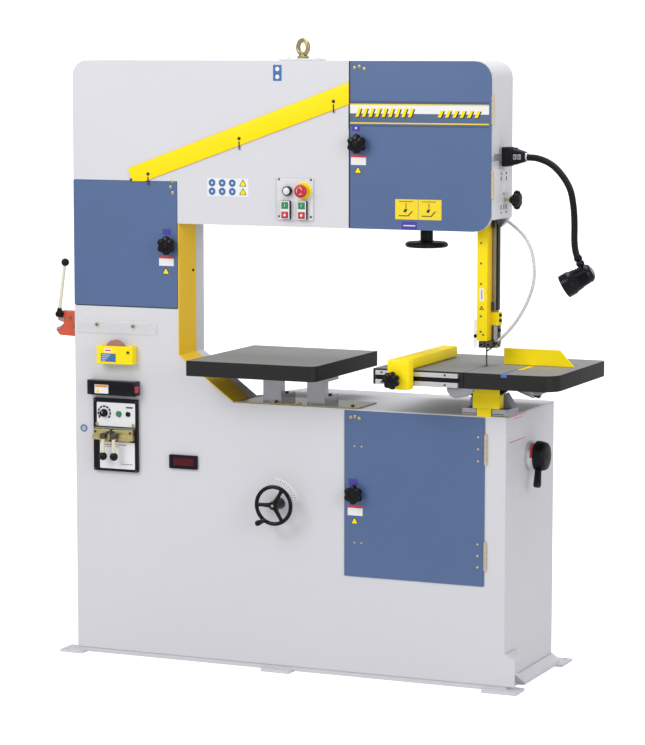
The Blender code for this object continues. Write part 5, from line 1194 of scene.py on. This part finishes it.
def guide():
    """The guide post's head, its jaws and its guard."""
    post_low, post_high = Vector((1.379, 0.1, 1.149)), Vector((1.397, 0.125, 1.6))
    post = Piece("guide_post_bar").block(post_low, post_high, 0.0012, 3)
    post.done("guide_post", "post_steel", replaces=["guide_post"])
    strip = Piece("guide_post_rack").block((1.3966, 0.099, 1.155), (1.401, 0.124, 1.596), 0.0004)
    strip.done("guide_post", "gloss_black")
    shims = Piece("guide_post_shims")
    shims.block((1.383, 0.0995, 1.193), (1.392, 0.1005, 1.206), 0.0002)
    shims.block((1.382, 0.0995, 1.149), (1.394, 0.1005, 1.16), 0.0002)
    shims.done("guide_post", "zinc_yellow", "brass")
    guard = Piece("post_guard")
    guard.block((1.3495, 0.06, 1.064), (1.3835, 0.0622, 1.44), 0.0008)
    guard.block((1.3813, 0.06, 1.064), (1.3835, 0.0955, 1.44), 0.0008)
    guard.done("guide_post", "yellow_paint")
    # A darker amber strip over the guard's right side: painted shade on the side turned from the light.
    flange = Piece("post_guard_side_shade").block((1.3836, 0.0626, 1.065), (1.3842, 0.095, 1.439), 0.0002)
    flange.done("guide_post", "amber_paint")
    ties = Piece("post_guard_ties")
    for z in (1.153, 1.405):
        ties.block((1.3835, 0.0885, z), (1.39, 0.1005, z + 0.026), 0.0008)
    ties.done("guide_post", "dark_steel")
    places = [(1.3622, 0.06, z) for z in (1.092, 1.1391, 1.237, 1.2991, 1.361, 1.423)]
    screw_group("post_guard_screws", "guide_post", ["dark_steel"], [*places, (1.3702, 0.06, 1.083)],
                0.003, 0.0016, "slot")
    prints("guide_post", "post_guard_label", 0.06, {
        "label_white": (0, [soft_rect(1.3575, 1.3723, 1.185, 1.2243, 0.003)]),
        "label_red": (1, [rect(1.3635, 1.3665, 1.19, 1.219)]),
        "label_dark": (1, [triangle(1.3648, 1.163, 0.015)]),
        "label_orange": (2, [triangle(1.3648, 1.1628, 0.01)]),
    })
    clamp = Piece("guide_clamp_block").block((1.377, 0.096, 1.109), (1.406, 0.1285, 1.1488), 0.0015, 3)
    clamp.done("guide_post", "yellow_paint")
    bracket = Piece("guide_bracket").block((1.379, 0.099, 1.04), (1.402, 0.1275, 1.11), 0.0015)
    bracket.block((1.35, 0.1065, 1.042), (1.39, 0.1235, 1.075), 0.0012)
    bracket.block((1.356, 0.1, 1.062), (1.38, 0.108, 1.085), 0.001)
    bracket.done("guide_post", "machined_steel", replaces=["guide_head"])
    slide = Piece("guide_slide_block").block((1.378, 0.095, 1.062), (1.389, 0.1, 1.1086), 0.0008)
    slide.block((1.402, 0.1, 1.045), (1.4034, 0.125, 1.108), 0.0004)
    slide.done("guide_post", "dark_steel")
    bars = Piece("guide_adjusting_bars")
    for x in (1.3925, 1.3975):
        bars.rod((x, 0.0965, 1.043), (x, 0.0965, 1.113), 0.002, sides=16)
    bars.done("guide_post", "chrome")
    jaws = Piece("guide_jaws")
    jaws.block((1.352, 0.0692, 1.042), (1.3693, 0.11, 1.0618), 0.0008)
    jaws.block((1.3717, 0.0692, 1.042), (1.395, 0.11, 1.0618), 0.0008)
    jaws.lathe([(0, 0), (0.007, 0), (0.0075, 0.001), (0.0075, 0.008), (0.007, 0.009), (0, 0.009)],
               (BLADE_X, BLADE_Y + 0.0205, 1.069), OUT, 32)
    jaws.done("guide_post", "dark_steel")
    bolts = Piece("guide_bolts")
    for z in (1.1403, 1.1238):
        bolts.screw((1.406, 0.107, z), RIGHT, 0.005, 0.0062)
    for z in (1.0941, 1.0592):
        bolts.screw((1.4034, 0.108, z), RIGHT, 0.0048, 0.0062)
    bolts.screw((1.344, 0.0655, 1.078), OUT, 0.0056, 0.0035)
    for x in (1.36, 1.383):
        bolts.screw((x, 0.0692, 1.052), OUT, 0.0034, 0.0026)
    bolts.done("guide_post", "gloss_black")
    shield = Piece("guide_shield").block((1.336, 0.0655, 1.041), (1.352, 0.0675, 1.127), 0.0005)
    shield.block((1.336, 0.0655, 1.041), (1.3378, 0.095, 1.127), 0.0005)
    shield.done("guide_post", "clear_plastic")
    end, before = Vector(HOSE[-1]), Vector(HOSE[-2])
    along = (end - before).normalized()
    nozzle = Piece("air_nozzle").lathe(
        [(0, 0.0004), (0.0062, 0.0004), (0.0066, 0.002), (0.0066, 0.006), (0.005, 0.0075), (0.005, 0.014),
         (0.003, 0.0165), (0, 0.0165)], end, along, 28)
    nozzle.done("guide_post", "chrome")
    tip = Piece("air_nozzle_tip").tube(
        smooth_route([end + 0.014 * along, (1.401, 0.079, 1.05), (1.3905, 0.065, 1.04),
                      (1.383, 0.06, 1.0345)], 0.003), lambda i: 0.0034 - 0.00012 * min(i, 10), 14)
    tip.done("guide_post", "gloss_black")


def post_lock():
    """The knob that clamps the guide post: a bell of six lobes on a thin stem."""
    low, high = span("post_lock_knob")
    y, z = (low.y + high.y) / 2, (low.z + high.z) / 2
    start = 1.4345
    outline = [(0, 0), (0.0085, 0), (0.01, 0.002), (0.0105, 0.008), (0.0135, 0.011), (0.0235, 0.0135),
               (0.0272, 0.018), (0.0275, 0.025), (0.025, 0.03), (0.019, 0.033), (0.008, 0.0338), (0, 0.034)]
    Piece("post_lock_grip").lathe(outline, (start, y, z), RIGHT, 72, lobes=6, depth=0.003).done(
        "post_lock_knob", "gloss_black", replaces=["post_lock_knob"])
    stem = Piece("post_lock_stem").rod((1.406, y, z), (1.436, y, z), 0.0042, sides=24)
    stem.done("post_lock_knob", "brass")
    sleeve = Piece("post_lock_sleeve").rod((1.4, y, z), (1.419, y, z), 0.0062, sides=24)
    sleeve.done("post_lock_knob", "aluminium_trim")


def arm_end():
    """The side plate on the arm's end, with its slots and screws and room for the clamping stem."""
    x = ARM_END
    # A black plate painted as the shade inside the dark opening at the arm's lower end.
    shade = Piece("arm_end_opening_shade").plate([[(0.05, 1.432), (0.095, 1.432), (0.095, 1.41), (0.07, 1.404)]],
                                           "YZ", x - 0.001, x + 0.0004)
    shade.done("frame", "gloss_black")
    outline = soft_rect(0.005, 0.178, 1.434, 1.586, 0.004)
    face = x + 0.0024
    plate = Piece("arm_end_plate")
    plate.plate([outline, disc(0.1125, 1.4904, 0.008, 24)], "YZ", x + 0.0002, face, 0.0004)
    plate.done("frame", "panel_grey", "grey_paint")
    label = Piece("arm_end_label").plate([rect(0.088, 0.118, 1.515, 1.54)], "YZ", face, face + 0.0003)
    label.done("frame", "label_white")

    def upright(y, z, high):
        return soft_rect(y - 0.0032, y + 0.0032, z - high / 2, z + high / 2, 0.0028)

    marks = Piece("arm_end_slots")
    for y in (0.0803, 0.1252):
        marks.plate([upright(y, 1.5552, 0.013)], "YZ", face - 0.0004, face + 0.0004)
        marks.plate([upright(y, 1.469, 0.015)], "YZ", face - 0.0004, face + 0.0004)
        for z in (1.5698, 1.453):
            marks.screw((face, y, z), RIGHT, 0.0033, 0.0018, "dome")
    marks.plate([upright(0.1052, 1.469, 0.015)], "YZ", face - 0.0004, face + 0.0004)
    marks.screw((face, 0.1043, 1.5087), RIGHT, 0.0036, 0.0018, "dome")
    marks.done("frame", "gloss_black")


# Work lamp

LAMP_NECK = [
    (1.49, 0.09, 1.62),
    (1.531, 0.09, 1.617),
    (1.574, 0.09, 1.599),
    (1.608, 0.089, 1.567),
    (1.633, 0.087, 1.527),
    (1.645, 0.084, 1.479),
    (1.65, 0.081, 1.427),
    (1.652, 0.076, 1.375),
    (1.658, 0.072, 1.341),
    (1.669, 0.068, 1.317),
]


def lamp():
    """The work lamp, its box and its gooseneck."""
    x, y, z = 1.418, 0.09, 1.6214
    bracket = Piece("lamp_bracket")
    bracket.block((x - 0.0028, 0.004, z - 0.011), (x + 0.0016, y + 0.03, z + 0.01), 0.0008)
    bracket.block((x, y - 0.018, z - 0.015), (x + 0.012, y + 0.018, z + 0.015), 0.0012)
    bracket.done("frame", "aluminium_trim", replaces=["lamp_arm"])
    box = Piece("lamp_switch_box")
    box.block((x + 0.006, y - 0.028, z - 0.029), (x + 0.027, y + 0.028, z + 0.029), 0.003, 3)
    box.block((x + 0.026, y - 0.0255, z - 0.025), (x + 0.04, y + 0.0255, z + 0.027), 0.002, 3)

    def square(along, half):
        return [(x + along, y + a, z + b) for a, b in soft_rect(-half, half, -half, half, 0.35 * half, 4)]

    box.rings([square(0.039, 0.024), square(0.044, 0.0235), square(0.072, 0.015), square(0.075, 0.0135)])
    box.done("frame", "black_plastic")
    for i in range(2):
        rocker = Piece(f"lamp_rocker_{i}")
        start = x + 0.042 + 0.012 * i
        depth = y - 0.0262 + 0.0042 * i
        rocker.block((start, depth, z - 0.008), (start + 0.0105, depth + 0.008, z + 0.008), 0.001, 2)
        rocker.done("frame", "cast_iron")
        mark = Piece(f"lamp_rocker_mark_{i}")
        mark.plate([rect(start + 0.0046, start + 0.006, z - 0.0055, z + 0.0055)], "XZ", depth - 0.0003, depth)
        mark.plate([rect(start + 0.002, start + 0.0085, z - 0.0008, z + 0.0008)], "XZ", depth - 0.0004, depth)
        mark.done("frame", "label_dark")
    collars = Piece("gooseneck_collars")
    collars.rod((x + 0.07, y, z), (x + 0.08, y, z - 0.0002), 0.013, 0.0125, 36)
    collars.done("frame", "chrome")
    neck_end, neck_before = Vector(LAMP_NECK[-1]), Vector(LAMP_NECK[-2])
    sleeve = Piece("gooseneck_sleeve")
    sleeve.rod(neck_end - 0.012 * (neck_end - neck_before).normalized(), neck_end, 0.0125, 0.012, 36)
    sleeve.done("frame", "gloss_black")
    route = smooth_route(LAMP_NECK, 0.0022)
    neck = Piece("gooseneck").tube(route, lambda i: 0.0104 if i % 2 else 0.0094, 20)
    neck.done("frame", "black_plastic")
    rear, front = Vector((1.709, 0.066, 1.286)), Vector((1.63, 0.05, 1.238))
    along = (front - rear).normalized()
    shade = [(0, -0.004), (0.012, -0.0038), (0.02, -0.002), (0.0262, 0.004), (0.029, 0.01)]
    for i in range(5):
        s = 0.014 + 0.0062 * i
        r = 0.0292 + 0.0004 * i
        shade += [(r, s), (r - 0.0022, s + 0.0012), (r - 0.0022, s + 0.003), (r + 0.0002, s + 0.0042)]
    shade += [(0.0322, 0.052), (0.0332, 0.062), (0.0356, 0.066), (0.036, 0.07), (0.036, 0.093),
              (0.035, 0.094), (0.0325, 0.094), (0.032, 0.09), (0.0315, 0.072), (0.018, 0.064), (0, 0.062)]
    head = Piece("lamp_shade").lathe(shade, rear, along, 64)
    head.done("lamp_head", "gloss_black", replaces=["lamp_head"])
    lens = Piece("lamp_glass").lathe([(0, 0.08), (0.02, 0.0806), (0.0314, 0.083), (0.0316, 0.085),
                                      (0.02, 0.0868), (0, 0.0872)], rear, along, 56)
    lens.done("lamp_head", "lamp_lens")
    knuckle = Piece("lamp_knuckle")
    pivot = Vector((1.674, 0.067, 1.308))
    knuckle.ball(pivot, 0.0125)
    knuckle.rod(pivot, (1.684, 0.063, 1.281), 0.0085, 0.011, 28)
    knuckle.done("lamp_head", "gloss_black")
    cap = Piece("lamp_rear_cap").lathe([(0, -0.0062), (0.01, -0.0058), (0.0165, -0.003), (0.017, -0.0016),
                                        (0, -0.001)], rear, along, 36)
    cap.done("lamp_head", "cast_iron")


def tension_wheel():
    """The handwheel below the arm that tensions the blade."""
    x, y = 1.1559, 0.135
    outline = [(0, 1.394), (0.015, 1.394), (0.0185, 1.39), (0.0195, 1.386), (0.0195, 1.36), (0.024, 1.356),
               (0.046, 1.3525), (0.053, 1.3548), (0.0585, 1.3545), (0.063, 1.352), (0.0658, 1.347),
               (0.065, 1.342), (0.061, 1.3385), (0.055, 1.3375), (0.05, 1.3395), (0.044, 1.3425),
               (0.022, 1.3425), (0.018, 1.34), (0.014, 1.3365), (0, 1.3365)]
    Piece("tension_wheel_casting").lathe(outline, (x, y, 0), UP, 84, lobes=12, depth=0.0009).done(
        "tension_handwheel", "black_plastic", replaces=["tension_handwheel"])
    screw = [(0, 1.38)]
    for i in range(72):
        base = 1.382 + 0.003 * i
        screw += [(0.0082, base), (0.0095, base + 0.001), (0.0095, base + 0.0016), (0.0082, base + 0.0026)]
    screw += [(0.008, 1.6), (0, 1.6)]
    Piece("tension_screw").lathe(screw, (x, y, 0), UP, 24).done("tension_handwheel", "machined_steel")


# What the doors hide


def loop_around(wheels, steps):
    """A closed loop round circles, listed anticlockwise, along their outer tangents."""
    points = []
    for i, (x, z, radius) in enumerate(wheels):
        turns = []
        for a, b in ((wheels[i - 1], wheels[i]), (wheels[i], wheels[(i + 1) % len(wheels)])):
            dx, dz = b[0] - a[0], b[1] - a[1]
            lean = math.asin((a[2] - b[2]) / math.hypot(dx, dz))
            turns.append(math.degrees(math.atan2(dz, dx) + lean) - 90)
        start, end = turns
        while end < start:
            end += 360
        while end > start + 360:
            end -= 360
        points += arc((x, z), radius, start, end, steps)
    return points


def even_loop(points, spacing):
    """A closed loop's points again, at even spacing."""
    loop = [Vector((*p, 0)) for p in points + points[:1]]
    length = sum((b - a).length for a, b in zip(loop, loop[1:]))
    count = 2 * round(length / spacing / 2)
    made, walked, target = [], 0.0, 0.0
    for a, b in zip(loop, loop[1:]):
        step = (b - a).length
        while walked + step >= target and len(made) < count and step > 0:
            p = a.lerp(b, (target - walked) / step)
            made.append((p.x, p.y))
            target += length / count
        walked += step
    return made


def blade():
    """The toothed band round the three wheels."""
    wheels = [(1.1559, 0.58, BLADE_WHEEL), (1.1559, 1.654, BLADE_WHEEL), (0.185, 1.345, 0.17)]
    half = 0.0006
    inner = even_loop(loop_around([(x, z, r - half) for x, z, r in wheels], 60), 0.003)
    outer = even_loop(loop_around([(x, z, r + half) for x, z, r in wheels], 60), 0.003)
    count = min(len(inner), len(outer))
    front, back = BLADE_LOW.y, BLADE_HIGH.y
    rings = []
    for i in range(count):
        a, b = inner[i * len(inner) // count], outer[i * len(outer) // count]
        tip = front if i % 2 else front + 0.0014
        rings.append([(a[0], back, a[1]), (b[0], back, b[1]), (b[0], tip, b[1]), (a[0], tip, a[1])])
    Piece("blade_band").rings(rings, loop=True).done("frame", "blade_steel", replaces=["saw_blade"], angle=20)


def drive():
    """The motor, its pulley and the belt."""
    for name in ("upper_wheel", "lower_wheel", "left_wheel"):
        refine(name, "cast_iron", 0.001)
    for name in ("wheel_carriage", "left_wheel_shaft", "drive_shaft", "motor_pulley"):
        refine(name, "machined_steel", 0.0008)
    refine("drive_motor", "motor_paint", 0.001)
    refine("drive_belt", "belt_rubber", 0.0)
    wheels = (("upper_wheel", 1.1559, 1.654, BLADE_WHEEL), ("lower_wheel", 1.1559, 0.58, BLADE_WHEEL),
              ("left_wheel", 0.185, 1.345, 0.17))
    for name, x, z, radius in wheels:
        tyre = Piece(f"{name}_tyre")
        outline = [(radius - 0.0024, -0.015), (radius - 0.001, -0.014), (radius - 0.0008, 0.0),
                   (radius - 0.001, 0.014), (radius - 0.0024, 0.015), (radius - 0.004, 0.015),
                   (radius - 0.004, -0.015)]
        tyre.lathe(outline, (x, BLADE_Y, z), IN, 120, loop=True)
        tyre.done(name, "belt_rubber")
        places = [(x + 0.032 * math.cos(a), BLADE_Y - 0.022, z + 0.032 * math.sin(a))
                  for a in (math.radians(60 * i + 30) for i in range(6))]
        screw_group(f"{name}_hub_bolts", name, ["dark_steel"], places, 0.0055, 0.004, "hex")
    x, z = 0.76, 0.24
    fins = Piece("motor_fins")
    for i in range(28):
        a = 2 * math.pi * i / 28
        out, across = Vector((math.cos(a), 0, math.sin(a))), Vector((-math.sin(a), 0, math.cos(a)))
        if out.z < -0.5 or out.z > 0.85:
            continue
        base = Vector((x, 0, z))
        ring = [base + r * out + s * across for r, s in ((0.08, -0.0016), (0.094, -0.001), (0.094, 0.001),
                                                         (0.08, 0.0016))]
        fins.rings([[p + Vector((0, y, 0)) for p in ring] for y in (0.11, 0.28)])
    fins.done("frame", "motor_paint")


# The back


def back():
    """Screws round the rear panel, and louvres and a cover plate on the base's back."""
    spots = [(0.03 + 0.11 * i, FRAME_TOP - 0.025) for i in range(13)]
    spots += [(0.025, 0.2 + 0.2 * i) for i in range(8)] + [(0.345, 0.95 + 0.14 * i) for i in range(4)]
    spots += [(0.48 + 0.13 * i, ARM_BOTTOM + 0.025) for i in range(7)]
    places = [(x, HEAD_BACK, z) for x, z in spots]
    places += [(x, BASE_BACK, z) for x in (0.66, 1.05, 1.44) for z in (0.06, 0.8)]
    screw_group("rear_panel_screws", "frame", ["chrome"], places, 0.0052, 0.003, "dome", IN)
    cover = Piece("rear_access_cover")
    cover.plate([soft_rect(0.68, 1.02, 0.1, 0.42, 0.012)], "XZ", BASE_BACK, BASE_BACK + 0.002, 0.0005)
    for i in range(9):
        z = 0.17 + 0.022 * i
        rings = []
        for y, depth in ((0, 0.0), (0.004, 0.005), (0.01, 0.0065), (0.014, 0.006)):
            rings.append([(0.74, BASE_BACK + 0.0015, z + y), (0.96, BASE_BACK + 0.0015, z + y),
                          (0.952, BASE_BACK + 0.002 + depth, z + y),
                          (0.748, BASE_BACK + 0.002 + depth, z + y)])
        cover.rings(rings)
    cover.done("frame", "grey_paint")
    places = [(x, BASE_BACK + 0.002, z) for x in (0.695, 1.005) for z in (0.115, 0.405)]
    screw_group("rear_cover_screws", "frame", ["gloss_black"], places, 0.0055, 0.0032, axis=IN)


# Light and floor


def area_light(name, at, aim, width, height, power):
    """A soft lamp that looks at a place."""
    data = bpy.data.lights.new(name, "AREA")
    data.shape = "RECTANGLE"
    data.size, data.size_y = width, height
    data.energy = power
    made = bpy.data.objects.new(name, data)
    made.location = at
    made.rotation_euler = (Vector(aim) - Vector(at)).to_track_quat("-Z", "Y").to_euler()
    bpy.context.scene.collection.objects.link(made)


def studio():
    """The floor, the world and the three lamps."""
    scene = bpy.context.scene
    scene.view_settings.view_transform = "Standard"
    world = bpy.data.worlds.new("studio")
    world.use_nodes = True
    world.node_tree.nodes["Background"].inputs["Color"].default_value = (1.0, 1.0, 1.0, 1)
    world.node_tree.nodes["Background"].inputs["Strength"].default_value = 0.63
    scene.world = world
    area_light("key", (-2.2, -4.4, 4.0), (0.0, 0.0, 1.6), 3.0, 2.6, 122)
    area_light("fill", (5.0, -3.0, 2.6), (0.3, 0.0, 0.9), 2.5, 3.0, 80)
    area_light("top", (0.4, 0.6, 5.2), (0.2, 0.0, 1.0), 4.0, 3.0, 130)
    data = bpy.data.meshes.new("floor")
    solid = bmesh.new()
    bend = [(9.0 + 4 * math.sin(math.radians(a)), 4 - 4 * math.cos(math.radians(a)))
            for a in range(10, 91, 10)]
    path = [(-14.0, 0.0), (9.0, 0.0), *bend, (13.0, 14.0)]
    rows = [[solid.verts.new((x, y, z)) for x in (-22.0, 22.0)] for y, z in path]
    for a, b in zip(rows, rows[1:]):
        solid.faces.new((a[0], a[1], b[1], b[0]))
    solid.to_mesh(data)
    solid.free()
    data.shade_smooth()
    floor = bpy.data.objects.new("floor", data)
    scene.collection.objects.link(floor)
    pale = finish("floor_white", (0.5, 0.5, 0.5), 0.6, drift=0.01, grain=0.0)
    shader = pale.node_tree.nodes["Principled BSDF"]
    shader.inputs["Emission Color"].default_value = (1, 1, 1, 1)
    glow = pale.node_tree.nodes.new("ShaderNodeMath")
    glow.operation = "MULTIPLY_ADD"
    glow.inputs[1].default_value, glow.inputs[2].default_value = 0.85, 0.16
    pale.node_tree.links.new(pale.node_tree.nodes.new("ShaderNodeLightPath").outputs["Is Camera Ray"],
                             glow.inputs[0])
    pale.node_tree.links.new(glow.outputs[0], shader.inputs["Emission Strength"])
    data.materials.append(pale)


camera()
air_hose()
frame_panels()
arm_cover()
hinges()
door_prints()
panel_prints()
latch_knobs()
lifting_eye()
switch_plate()
speed_controls()
side_dial()
welder()
welder_lamp()
grinder()
shear()
tables()
fence_and_mitre()
trunnion_cover()
guide()
post_lock()
arm_end()
lamp()
tension_wheel()
blade()
drive()
back()
studio()
